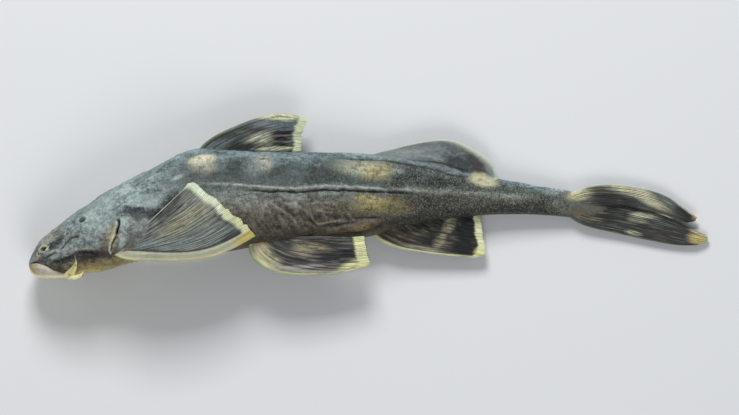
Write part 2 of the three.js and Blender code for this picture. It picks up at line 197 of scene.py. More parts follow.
# Rings stand closer on the head, and columns closer on the flank that shows.
ring_pitch = line([
    (0, 0.17), (12, 0.18), (30, 0.27), (55, 0.34), (92, 0.34), (110, 0.5), (BODY_LENGTH, 0.65)])
FIRST_RING = 0.06  # distance of the first ring from the snout tip
LAST_GAP = 0.3  # rings are added until one is as near as this to the end of the flesh
stations = [FIRST_RING]
while stations[-1] < BODY_LENGTH - LAST_GAP:
    stations.append(stations[-1] + float(ring_pitch(stations[-1])))
stations = np.array(stations)
COLUMNS = 202
HIDDEN_PITCH = 0.4  # share of the columns that the flank underneath gets
FINE_ANGLES = 1441  # a section is measured every quarter of a degree
fine = np.radians(np.linspace(-180, 180, FINE_ANGLES))
fine_y, fine_z = around(stations[:, None], fine[None, :])
steps = np.hypot(np.diff(fine_y, axis=1), np.diff(fine_z, axis=1))
steps = steps * np.where(np.cos(fine[:-1]) > 0, 1.0, HIDDEN_PITCH)
run = np.concatenate([np.zeros((len(stations), 1)), np.cumsum(steps, axis=1)], axis=1)
angle = np.array([np.interp(np.arange(COLUMNS) / COLUMNS * r[-1], r, fine) for r in run])
skin_x = np.repeat(stations[:, None], COLUMNS, axis=1)
skin_y, skin_z = around(skin_x, angle)
side = np.cos(angle)
under = -np.sin(angle)
back_here, belly_here = section_at(skin_x)[:2]
depth_share = (skin_y - belly_here) / np.maximum(back_here - belly_here, 0.01)
LIP = [
    (0.3, 4.3), (2.0, 4.8), (3.4, 4.6), (4.7, 4.1), (6.0, 3.4), (7.2, 2.7), (8.6, 2.2), (10.0, 1.8),
    (11.4, 1.4)]
GILL_SLIT = [(25.2, 17.0), (25.5, 15.8), (25.2, 13.9), (24.8, 12.5), (24.2, 11.0), (23.7, 9.6), (23.4, 7.4)]
LATERAL_GROOVE = [
    (58.0, 25.3), (65.2, 24.9), (68.3, 24.6), (70.0, 24.8), (75.7, 24.4), (79.1, 24.8), (81.3, 25.1),
    (84.0, 25.0), (90.0, 24.9), (97.6, 24.5), (105.3, 24.2), (111.0, 23.8)]
LATERAL_RIDGE = [
    (46.0, 26.9), (59.1, 26.5), (66.7, 25.9), (72.0, 25.5), (75.7, 25.4), (79.1, 25.9), (82.0, 26.1),
    (88.0, 26.0), (96.0, 25.5), (100.0, 25.3)]
BELLY_FOLD = [(83.0, 13.6), (86.0, 14.3), (90.0, 15.2), (93.0, 16.2), (98.2, 16.6)]

# Furrows and folds drawn on the flank: path, half width, depth (less than 0 stands up), and painted shading
# (over 0 is painted shade along a sunk one, under 0 a painted highlight along a raised one)
FURROWS = [
    ([(8.8, 8.6), (9.6, 9.0), (10.5, 10.3), (11.4, 11.2), (12.8, 11.8), (14.6, 12.5)], 0.20, 0.40, 1.1),
    ([(8.2, 9.2), (9.2, 10.2), (10.2, 11.3), (11.6, 12.2), (13.0, 12.5)], 0.26, -0.22, -0.8),
    ([(5.2, 6.5), (6.5, 6.8), (7.4, 7.4), (8.6, 7.4)], 0.24, 0.42, 1.1),
    ([(5.4, 7.4), (7.0, 8.0), (8.1, 8.2), (8.9, 7.8)], 0.24, -0.30, -1.0),
    ([(5.6, 9.0), (7.6, 9.7), (9.9, 10.3)], 0.9, 0.26, 0.35),
    ([(3.2, 5.9), (4.4, 6.3), (5.4, 6.2)], 0.4, 0.2, 0.7),
    ([(9.0, 6.2), (11.4, 6.9), (12.5, 7.6), (13.4, 8.2), (14.8, 8.4), (17.9, 8.5), (20.0, 8.6)],
     0.23, -0.34, -2.2),
    ([(8.6, 5.4), (10.4, 5.7), (12.2, 6.6), (13.6, 7.3), (16.0, 7.5), (20.0, 7.6)], 0.62, 0.6, 0.6),
    ([(5.0, 5.6), (6.4, 5.2), (8.6, 4.9), (11.0, 5.3)], 0.7, 0.3, 0.4),
    (LIP, 0.20, 0.55, 1.2),
    ([(0.9, 3.3), (2.7, 3.4), (5.2, 2.7), (7.8, 1.6), (10.6, 1.0)], 0.5, -0.16, 0.0),
    (GILL_SLIT, 0.17, 1.3, 1.6),
    (GILL_SLIT[:4], 0.30, 1.2, 1.4),
    ([(24.8, 16.3), (24.5, 13.6), (23.6, 10.7), (23.1, 9.2), (23.0, 7.6)], 0.36, -0.40, -0.2),
    ([(26.3, 17.4), (26.1, 14.9), (25.7, 12.9), (24.6, 10.0), (24.3, 8.4)], 0.32, -0.30, -0.9),
    ([(21.6, 13.0), (21.0, 10.6), (21.2, 8.2)], 0.9, 0.35, 0.2),
    ([(25.4, 8.3), (26.7, 9.0), (27.8, 9.6)], 0.2, 0.25, 0.9),
    ([(26.8, 20.6), (28.4, 19.6), (30.5, 18.7), (34.8, 18.2), (37.4, 19.5), (40.3, 22.6), (42.4, 24.8)],
     1.15, 0.65, 0.45),
    ([(33.4, 17.4), (36.0, 18.0), (38.6, 20.4), (41.2, 23.2)], 0.4, 0.35, 0.8),
    ([(28.0, 22.4), (31.0, 21.0), (34.8, 20.6), (37.4, 22.0)], 0.8, -0.30, -0.3),
    ([(30.5, 26.2), (34.0, 27.0), (38.5, 27.8)], 0.3, 0.15, 0.5),
    ([(36.0, 24.4), (38.2, 24.6), (41.0, 26.0)], 0.3, -0.15, -0.5),
    ([(44.8, 28.8), (49.6, 29.6), (57.4, 29.6)], 0.3, 0.12, 0.3),
    (LATERAL_GROOVE, 0.29, 0.55, 1.9),
    (LATERAL_RIDGE, 0.36, -0.36, -2.3),
    ([(92.0, 25.8), (100.0, 25.3), (105.3, 25.1), (112.0, 24.8)], 0.40, -0.26, -0.9),
    ([(104.0, 25.1), (110.0, 24.8), (117.9, 24.5), (129.1, 23.7), (144.0, 22.7)], 0.90, -0.16, -1.0),
    ([(63.7, 21.7), (65.2, 20.0), (66.8, 18.6)], 0.30, -0.28, -1.8),
    ([(67.4, 22.0), (70.2, 19.9), (72.6, 17.7)], 0.32, -0.32, -2.2),
    ([(71.4, 21.7), (73.2, 20.7), (74.8, 19.9)], 0.32, -0.30, -2.0),
    ([(77.3, 19.9), (79.1, 18.0), (80.6, 15.8), (85.3, 16.3), (88.7, 16.2)], 0.30, -0.34, -1.9),
    ([(73.2, 17.7), (75.1, 15.5), (76.0, 14.0)], 0.30, -0.26, -1.7),
    ([(78.8, 21.3), (83.7, 21.6), (87.0, 20.6)], 0.34, -0.24, -1.6),
    ([(80.3, 19.5), (83.1, 18.9), (85.0, 18.6)], 0.30, -0.24, -1.8),
    ([(88.7, 19.2), (89.8, 17.8), (91.1, 16.6)], 0.30, -0.28, -1.7),
    ([(74.6, 21.4), (77.0, 19.6), (78.6, 17.4)], 0.28, -0.24, -1.5),
    ([(69.8, 17.6), (72.0, 15.4), (73.2, 13.6)], 0.26, -0.22, -1.3),
    ([(83.2, 20.2), (86.4, 19.6), (88.4, 18.2)], 0.28, -0.22, -1.4),
    ([(66.8, 21.2), (69.4, 19.2), (71.6, 17.2)], 0.28, 0.26, 0.7),
    ([(76.8, 19.4), (78.4, 17.4), (80.0, 15.2)], 0.30, 0.36, 1.0),
    ([(82.6, 18.2), (85.4, 17.6), (87.4, 17.2)], 0.55, 0.26, 0.8),
    ([(87.6, 19.3), (89.2, 17.2), (92.0, 17.1), (99.1, 17.3)], 0.28, 0.34, 1.1),
    ([(81.9, 15.0), (85.6, 15.0), (89.9, 16.0)], 0.26, 0.28, 0.8),
    ([(74.0, 9.6), (80.0, 10.6), (85.6, 12.6), (93.0, 13.4), (100.0, 15.2)], 0.34, 0.30, 0.9),
    (BELLY_FOLD, 0.42, -0.34, -0.6),
    ([(95.0, 14.4), (102.0, 16.0), (110.0, 17.6)], 0.5, 0.22, 0.5),
    ([(84.0, 33.9), (96.9, 33.6), (106.0, 32.3), (113.6, 30.9), (118.2, 29.4), (123.5, 28.8)],
     0.32, 0.28, 1.0),
    ([(88.0, 33.1), (98.0, 32.6), (108.0, 31.2)], 0.5, -0.14, -0.35),
]
sway = lumps(7)


def swayed(drawn, layer):
    """Places pushed about a little, so that no furrow runs as evenly as it was drawn."""
    broad = 0.22 * sway(skin_x / 1.7, skin_y / 1.7, layer)
    return drawn + broad + 0.10 * sway(skin_x / 0.6, skin_y / 0.6, layer + 1)


swayed_x = swayed(skin_x, 1.5)
swayed_y = swayed(skin_y, 7.5)
uneven = 0.8 + 0.45 * sway(skin_x / 1.1, skin_y / 1.1, 4.5)
relief = np.zeros(skin_x.shape)
painted_shading = np.zeros(skin_x.shape)
# Each furrow is pressed into the skin, with painted shade laid along a sunk one and a painted highlight along
# a raised one
for path, half_width, depth, dark in FURROWS:
    distance, share = off_path(path, swayed_x, swayed_y)
    felt = np.exp(-((distance / half_width) ** 2)) * ease(share, 0, 0.12) * ease(1 - share, 0, 0.12)
    felt = felt * np.minimum(np.abs(side) * 4, 1) * uneven
    relief -= depth * felt
    painted_shading += dark * felt

# Fine slanting wrinkles of the belly wall behind the pectoral fin, where the gut has dried away
WRINKLE_MIDDLE = (75.0, 16.0)
wrinkle_turn = -0.95 + 0.014 * (skin_x - WRINKLE_MIDDLE[0])  # they lie flatter towards the vent
wrinkled = ease(skin_x, 54, 64) * ease(-skin_x, -98, -86) * ease(depth_share, 0.03, 0.12)
wrinkled = wrinkled * ease(-depth_share, -0.50, -0.38)
ahead, up = skin_x - WRINKLE_MIDDLE[0], skin_y - WRINKLE_MIDDLE[1]
along_wrinkle = ahead * np.cos(wrinkle_turn) + up * np.sin(wrinkle_turn)
across_wrinkle = up * np.cos(wrinkle_turn) - ahead * np.sin(wrinkle_turn)
# Each wrinkle has painted shade in its trough and a painted highlight along its crest
for pitch, length, seed, depth, dark in [(1.3, 4.5, 12, 0.20, 0.40), (0.7, 2.4, 13, 0.12, 0.35)]:
    drift = 0.6 * lumps(seed + 20)(skin_x / 4, skin_y / 4)
    wave = lumps(seed)(across_wrinkle / pitch + drift + 40, along_wrinkle / length + 40, side)
    relief += depth * wrinkled * (1.5 * np.abs(wave) - 0.5)
    painted_shading += dark * wrinkled * (1.4 * np.exp(-((wave / 0.14) ** 2)) - 0.7 * np.abs(wave))

# Gill cover, shoulder, the hollow of the cheek and a knob over it: middle, size and height. The rim
# of the eye, the nostrils, the folds of the chest pad and the mouth follow.
SWELLINGS = [
    ((20.5, 13.5), 3.2, 0.45), ((29.5, 15.5), 3.6, 0.7), ((12.0, 8.6), 2.8, -0.5),
    ((12.5, 12.5), 0.3, 0.3)]
for place, size, height in SWELLINGS:
    distance = np.hypot(skin_x - place[0], skin_y - place[1]) / size
    relief += height * np.exp(-distance * distance) * np.minimum(np.abs(side) * 2, 1)
EYE = (15.2, 16.8)
EYE_HALF = (0.98, 0.62)
EYE_TILT = math.radians(18)


def off_eye(x, y):
    """Distance from the middle of the eye, 1 on its rim."""
    ahead = (x - EYE[0]) * math.cos(EYE_TILT) + (y - EYE[1]) * math.sin(EYE_TILT)
    up = (y - EYE[1]) * math.cos(EYE_TILT) - (x - EYE[0]) * math.sin(EYE_TILT)
    return np.hypot(ahead / EYE_HALF[0], up / EYE_HALF[1])


orbit = off_eye(skin_x, skin_y)
relief += 0.20 * np.exp(-(((orbit - 1.5) / 0.4) ** 2)) - 0.5 * np.exp(-(orbit ** 4))
below_eye = np.clip((EYE[1] - skin_y) / 0.8, 0, 1)
rim = 0.35 * below_eye * np.exp(-(((orbit - 1.5) / 0.35) ** 2))
# Nostrils and a pore: middle, half length, half width and turn
NOSTRILS = [((4.4, 8.5), 0.75, 0.5, 20), ((4.9, 9.65), 0.24, 0.24, 0), ((3.0, 7.1), 0.25, 0.38, 10)]
nostril_depth = np.zeros(skin_x.shape)
for place, long, wide, turn in NOSTRILS:
    turn = math.radians(turn)
    ahead = (skin_x - place[0]) * math.cos(turn) + (skin_y - place[1]) * math.sin(turn)
    up = (skin_y - place[1]) * math.cos(turn) - (skin_x - place[0]) * math.sin(turn)
    hole = np.hypot(ahead / long, up / wide)
    relief += 0.20 * np.exp(-(((hole - 1.45) / 0.35) ** 2)) - 0.75 * np.exp(-(hole ** 4))
    nostril_depth = np.maximum(nostril_depth, np.exp(-(hole ** 4)))
    rim = np.maximum(rim, 0.8 * uneven * np.exp(-(((hole - 1.55) / 0.35) ** 2)))
distance, share = off_path([(23.3, 7.4), (22.9, 8.4), (23.3, 9.6), (24.0, 11.4), (24.6, 13.6), (24.9, 16.2)],
                           swayed_x, swayed_y)
rim = np.maximum(rim, np.exp(-((distance / 0.22) ** 2)) * uneven * (side > 0) * (1 - 0.55 * share))
across = skin_z - middle_line(skin_x)
on_belly = ease(under, 0.35, 0.75)
PAD_MIDDLE = 36.0
PAD_HALF_LENGTH = 10.0
PAD_HALF_WIDTH = 6.4
off_pad = np.hypot((skin_x - PAD_MIDDLE) / PAD_HALF_LENGTH, across / PAD_HALF_WIDTH)
pad = ease(1 - off_pad, 0, 0.25) * on_belly
FOLD_PITCH = 1.5
relief += 0.22 * pad * np.sin(2 * np.pi * skin_x / FOLD_PITCH)
# Painted shade in the troughs of the folds of the chest pad
painted_shading += 0.5 * pad * np.clip(-np.sin(2 * np.pi * skin_x / FOLD_PITCH), 0, 1)
MOUTH_RADIUS = 4.2
MOUTH_GAPE = 0.35
from_mouth = np.hypot(skin_x - 10.2, across * 0.95)
on_chin = ease(11.2 - skin_x, 0, 1.5) * on_belly
for radius, wide, height in ((5.2, 0.6, 0.10), (MOUTH_RADIUS, MOUTH_GAPE, -0.90), (3.3, 0.6, 0.08)):
    relief += on_chin * height * np.exp(-(((from_mouth - radius) / wide) ** 2))
# Painted shade in the sunk groove of the mouth
painted_shading += on_chin * 1.1 * np.exp(-(((from_mouth - MOUTH_RADIUS) / MOUTH_GAPE) ** 2))

# Uneven shrinkage of the whole skin, stronger over the skull and weaker on the firm lip
lip_height = np.interp(skin_x, [p[0] for p in LIP], [p[1] for p in LIP])
lip = ease(lip_height - skin_y, 0.0, 0.30) * ease(12.6 - skin_x, 0, 1.6)
lip_rim = lip * ease(belly_here + 0.95 - skin_y, 0.0, 0.45)
coarse, fine_lumps, grain_lumps = lumps(3), lumps(4), lumps(5)
skull = 1 - ease(skin_x, 30, 60)
loose = 1 - 0.8 * lip
relief += loose * (0.13 + 0.12 * skull) * coarse(skin_x / 4.2, skin_y / 3.2, skin_z / 4)
relief += loose * (0.045 + 0.10 * skull) * fine_lumps(skin_x / 1.6, skin_y / 1.3, skin_z / 1.5)
relief += loose * (0.025 + 0.045 * skull) * grain_lumps(skin_x / 0.75, skin_y / 0.65, skin_z / 0.7)
relief += 0.06 * (1 - skull) * coarse(skin_x / 8.0, skin_y / 0.8, 4.4)
relief += 0.05 * on_chin * np.clip(grain_lumps(skin_x / 0.45, 3.0, across / 0.45), 0, 1)

skin = np.stack([skin_x, skin_y, skin_z], axis=-1)
along_skin = np.gradient(skin, axis=0)
round_skin = np.roll(skin, -1, axis=1) - np.roll(skin, 1, axis=1)
outward = np.cross(round_skin, along_skin)
outward /= np.maximum(np.linalg.norm(outward, axis=-1, keepdims=True), 1e-9)
hub = np.stack([skin_x, section_at(skin_x)[2], middle_line(skin_x)], axis=-1)
outward *= np.where(((skin - hub) * outward).sum(-1, keepdims=True) < 0, -1, 1)
skin = skin + outward * relief[..., None]
TABLE = 0.03  # the pressed underside lies this far over the table
skin[..., 2] = np.maximum(skin[..., 2], TABLE)


def make_piece(name, points, faces, corners=None, shades=None):
    """A mesh object from points in drawn millimetres, its drawing coordinates and its shades."""
    mesh = bpy.data.meshes.new(name)
    mesh.from_pydata(in_frame(points).tolist(), [], [tuple(int(i) for i in f) for f in faces])
    if corners is not None:
        layer = mesh.uv_layers.new(name="drawn")
        index = np.empty(len(mesh.loops), int)
        mesh.loops.foreach_get("vertex_index", index)
        layer.data.foreach_set("uv", np.asarray(corners, float)[index].ravel())
    for shade, values in (shades or {}).items():
        attribute = mesh.attributes.new(shade, "FLOAT", "POINT")
        attribute.data.foreach_set("value", np.asarray(values, float).ravel())
    mesh.shade_smooth()
    piece = bpy.data.objects.new(name, mesh)
    bpy.context.scene.collection.objects.link(piece)
    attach(piece, "root")
    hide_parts(NODE)
    return piece


def ring_faces(rings, columns):
    """Faces over closed rings of points, with a point added for each end."""
    at = np.arange(rings * columns).reshape(rings, columns)
    a, b = at[:-1], np.roll(at, -1, axis=1)[:-1]
    c, d = np.roll(at, -1, axis=1)[1:], at[1:]
    quads = np.stack([a, b, c, d], axis=-1).reshape(-1, 4).tolist()
    first, last = rings * columns, rings * columns + 1
    for k in range(columns):
        after = (k + 1) % columns
        quads.append((first, at[0, after], at[0, k]))
        quads.append((last, at[-1, k], at[-1, after]))
    return quads


def face_out(piece):
    """Turns all the faces of a closed piece outwards."""
    mesh = piece.data
    mesh.calc_loop_triangles()
    points = np.empty(len(mesh.vertices) * 3)
    mesh.vertices.foreach_get("co", points)
    triangles = np.empty(len(mesh.loop_triangles) * 3, int)
    mesh.loop_triangles.foreach_get("vertices", triangles)
    a, b, c = (points.reshape(-1, 3)[triangles.reshape(-1, 3)[:, k]] for k in range(3))
    if (np.cross(b - a, c - a) * a).sum() < 0:
        mesh.flip_normals()
    return piece


snout_tip = [0.0, SNOUT_HEIGHT, float(middle_line(0.0))]
stub_tip = [BODY_LENGTH, STUB_MIDDLE, float(middle_line(BODY_LENGTH))]
body_points = np.vstack([skin.reshape(-1, 3), snout_tip, stub_tip])
body_drawn = np.stack([skin_x / BODY_LENGTH, depth_share], axis=-1).reshape(-1, 2)
body_shades = {
    "painted_shading": painted_shading, "rise": relief, "nostril": nostril_depth, "lip": lip, "lip_rim": lip_rim, "rim": rim}
body = face_out(make_piece(
    "fish_body", body_points, ring_faces(len(stations), COLUMNS), np.vstack([body_drawn, [0, 0.5], [1, 0.5]]),
    {key: np.append(values, [values[0].mean(), 0]) for key, values in body_shades.items()}))


def tone(red, green, blue):
    """A colour as it is read off a sample, from 0 to 255, for a shader socket."""
    shares = (red / 255, green / 255, blue / 255)
    return (*(v / 12.92 if v <= 0.04045 else ((v + 0.055) / 1.055) ** 2.4 for v in shares), 1.0)


def add(tree, kind, inputs=None, **settings):
    """One shader node, with its settings and its inputs: a value, or another node's output."""
    node = tree.nodes.new(kind)
    for name, value in settings.items():
        setattr(node, name, value)
    for key, value in (inputs or {}).items():
        if isinstance(value, bpy.types.NodeSocket):
            tree.links.new(value, node.inputs[key])
        else:
            node.inputs[key].default_value = value
    return node


def sums(tree, operation, a, b=0.0, c=0.0, clamp=False):
    """What one sum of up to three numbers comes to."""
    return add(tree, "ShaderNodeMath", {0: a, 1: b, 2: c}, operation=operation, use_clamp=clamp).outputs[0]


def eased(tree, value, start, end):
    """0 before start and 1 past end."""
    return add(tree, "ShaderNodeMapRange", {"Value": value, "From Min": start, "From Max": end},
               interpolation_type="SMOOTHSTEP").outputs["Result"]


def over(tree, share, below, above):
    """One colour laid over another."""
    return add(tree, "ShaderNodeMix", {0: share, 6: below, 7: above}, data_type="RGBA").outputs[2]


def brightness(tree, colour):
    return add(tree, "ShaderNodeRGBToBW", {0: colour}).outputs[0]


def new_group(name, inputs, outputs):
    group = bpy.data.node_groups.new(name, "ShaderNodeTree")
    for socket, kind, value in inputs:
        made = group.interface.new_socket(socket, in_out="INPUT", socket_type=kind)
        if value is not None:
            made.default_value = value
    for socket in outputs:
        group.interface.new_socket(socket, in_out="OUTPUT", socket_type="NodeSocketFloat")
    return group, group.nodes.new("NodeGroupInput").outputs, group.nodes.new("NodeGroupOutput").inputs


def use(tree, group, inputs):
    """The outputs of a shader group placed in a material with its own values."""
    node = tree.nodes.new("ShaderNodeGroup")
    node.node_tree = group
    for key, value in inputs.items():
        if isinstance(value, bpy.types.NodeSocket):
            tree.links.new(value, node.inputs[key])
        else:
            node.inputs[key].default_value = value
    return node.outputs


# A blotch of pigment: an oval drawn on the flank, with a wandering soft edge. It is worked out in
# single numbers, because a skin with many blotches has no room for a vector to each of them.
blotch, given, out = new_group("blotch", [
    (socket, "NodeSocketFloat", value) for socket, value in (
        ("Along", 0.0), ("Up", 0.0), ("Middle along", 0.0), ("Middle up", 0.0), ("Half length", 5.0),
        ("Half depth", 3.0), ("Turn", 0.0), ("Wander", 0.0), ("Softness", 0.5))
], ["Mask"])
off_along = sums(blotch, "SUBTRACT", given["Along"], given["Middle along"])
off_up = sums(blotch, "SUBTRACT", given["Up"], given["Middle up"])
cosine, sine = (sums(blotch, way, given["Turn"]) for way in ("COSINE", "SINE"))
lengthwise = sums(blotch, "MULTIPLY_ADD", off_along, cosine, sums(blotch, "MULTIPLY", off_up, sine))
upright = sums(blotch, "SUBTRACT", sums(blotch, "MULTIPLY", off_up, cosine),
               sums(blotch, "MULTIPLY", off_along, sine))
lengthwise = sums(blotch, "DIVIDE", lengthwise, given["Half length"])
upright = sums(blotch, "DIVIDE", upright, given["Half depth"])
square = sums(blotch, "MULTIPLY_ADD", lengthwise, lengthwise, sums(blotch, "MULTIPLY", upright, upright))
wandered = sums(blotch, "ADD", sums(blotch, "SQRT", square), given["Wander"])
inner = sums(blotch, "SUBTRACT", 1.0, given["Softness"])
outer = sums(blotch, "ADD", 1.0, given["Softness"])
blotch.links.new(sums(blotch, "SUBTRACT", 1.0, eased(blotch, wandered, inner, outer)), out["Mask"])

# The grain of dried skin: clouds, mottling, pores, fine stippling, upright muscle marks and a height
grain, given, out = new_group("skin grain", [("Place", "NodeSocketVector", None)],
                              ["Mottle", "Cloud", "Pores", "Stipple", "Marks", "Height"])


def grain_noise(scale, stretch, detail=3.0):
    stretched = add(grain, "ShaderNodeVectorMath", {0: given["Place"], 1: stretch}, operation="MULTIPLY")
    noise = add(grain, "ShaderNodeTexNoise", {
        "Vector": stretched.outputs[0], "Scale": scale, "Detail": detail, "Roughness": 0.6})
    return sums(grain, "SUBTRACT", noise.outputs[0], 0.5)


mottle_noise = grain_noise(1.1, (0.75, 1.0, 1.0), 4.0)
grain.links.new(mottle_noise, out["Mottle"])
grain.links.new(grain_noise(0.3, (0.6, 1.0, 1.0)), out["Cloud"])
grain.links.new(grain_noise(1.7, (1.5, 0.34, 0.4), 2.0), out["Marks"])
cells = add(grain, "ShaderNodeTexVoronoi", {"Vector": given["Place"], "Scale": 1.9, "Randomness": 1.0})
dots = eased(grain, cells.outputs["Distance"], 0.6, 0.2)
grain.links.new(sums(grain, "MULTIPLY", dots, eased(grain, cells.outputs["Color"], 0.1, 0.9)), out["Stipple"])
pores = grain_noise(2.6, (1.0, 1.0, 1.0))
grain.links.new(pores, out["Pores"])
grain.links.new(sums(grain, "ADD", sums(grain, "MULTIPLY", pores, 0.8), mottle_noise), out["Height"])


def new_material(name):
    material = bpy.data.materials.new(name)
    material.use_nodes = True
    tree = material.node_tree
    return material, tree, tree.nodes["Principled BSDF"]


def drawn_place(tree):
    """Where a point lies on the drawing, in millimetres from the snout tip and the lip."""
    seat = add(tree, "ShaderNodeTexCoord")
    return add(tree, "ShaderNodeMapping", {
        "Vector": seat.outputs["Object"], "Scale": (1 / MM,) * 3,
        "Location": (*DRAWN_MIDDLE, 0.0)}).outputs[0]


def shade_of(tree, name):
    return add(tree, "ShaderNodeAttribute", attribute_name=name).outputs["Fac"]


def ramp(tree, value, stops):
    node = add(tree, "ShaderNodeValToRGB", {0: value})
    elements = node.color_ramp.elements
    elements[0].position, elements[0].color = stops[0][0], tone(*stops[0][1])
    elements[1].position, elements[1].color = stops[-1][0], tone(*stops[-1][1])
    for position, colour in stops[1:-1]:
        elements.new(position).color = tone(*colour)
    return node.outputs[0]


def lay_blotches(tree, place, wander, colour, blotches):
    """Blotches in turn: middle, half length, half depth, turn, colour, strength and raggedness."""
    along, up = add(tree, "ShaderNodeSeparateXYZ", {0: place}).outputs[:2]
    for middle, half_length, half_depth, turn, shade, strength, ragged in blotches:
        mask = use(tree, blotch, {
            "Along": along, "Up": up, "Middle along": middle[0], "Middle up": middle[1],
            "Half length": half_length, "Half depth": half_depth, "Turn": math.radians(turn),
            "Wander": sums(tree, "MULTIPLY", wander, ragged)})["Mask"]
        colour = over(tree, sums(tree, "MULTIPLY", mask, strength), colour, tone(*shade))
    return colour


def shaded(tree, colour, amount):
    """A colour made lighter where the amount is over 0 and darker where it is under."""
    share = sums(tree, "MAXIMUM", sums(tree, "ADD", amount, 1.0), 0.4)
    return add(tree, "ShaderNodeVectorMath", {0: colour, "Scale": share}, operation="SCALE").outputs[0]


def roughen(tree, surface, height, strength, distance):
    """Fine relief on a surface, up to a distance in millimetres."""
    bump = add(tree, "ShaderNodeBump", {"Height": height, "Strength": strength, "Distance": distance * MM})
    tree.links.new(bump.outputs[0], surface.inputs["Normal"])


skin_material, tree, surface = new_material("dried fish skin")
place = drawn_place(tree)
x_mm = add(tree, "ShaderNodeSeparateXYZ", {0: place}).outputs[0]
skin_drawn = add(tree, "ShaderNodeUVMap", uv_map="drawn").outputs[0]
up_share = add(tree, "ShaderNodeSeparateXYZ", {0: skin_drawn}).outputs[1]
texture = use(tree, grain, {"Place": place})
cloud, mottle, pores, stipple, marks = (texture[k] for k in ("Cloud", "Mottle", "Pores", "Stipple", "Marks"))
height_share = sums(tree, "MULTIPLY_ADD", cloud, 0.25, up_share)
head = ramp(tree, height_share, [
    (0.0, (176, 164, 104)), (0.10, (124, 110, 78)), (0.22, (92, 90, 82)), (0.42, (114, 122, 119)),
    (0.62, (124, 136, 134)), (0.85, (124, 138, 137)), (1.0, (120, 134, 133))])
# In this ramp and the next, the lightest stops at the very top of the back are partly the bluish skin there
# and partly a painted highlight along the top edge
front = ramp(tree, height_share, [
    (0.0, (92, 78, 50)), (0.08, (68, 60, 48)), (0.2, (82, 74, 64)), (0.36, (86, 81, 72)),
    (0.44, (98, 98, 90)), (0.52, (118, 123, 117)), (0.58, (104, 112, 108)), (0.64, (74, 85, 82)),
    (0.78, (52, 62, 61)), (0.88, (84, 96, 97)), (1.0, (116, 132, 136))])
rear = ramp(tree, height_share, [
    (0.0, (46, 44, 35)), (0.12, (44, 44, 37)), (0.3, (58, 58, 51)), (0.5, (56, 59, 54)),
    (0.65, (56, 63, 59)), (0.86, (66, 76, 74)), (0.95, (108, 126, 132)), (1.0, (136, 156, 164))])
wandered_x = sums(tree, "MULTIPLY_ADD", cloud, 20.0, x_mm)
on_head = eased(tree, wandered_x, 52.0, 26.0)
on_rear = eased(tree, wandered_x, 82.0, 114.0)
colour = over(tree, on_head, front, head)
colour = over(tree, on_rear, colour, rear)
# The skin over and round the fat of the back fin is smoother and grey
fatty = sums(tree, "MULTIPLY", eased(tree, x_mm, 92.0, 100.0), eased(tree, x_mm, 133.0, 128.0))
fatty = sums(tree, "MULTIPLY", fatty, eased(tree, up_share, 0.86, 1.02))
colour = over(tree, fatty, colour, tone(106, 115, 114))
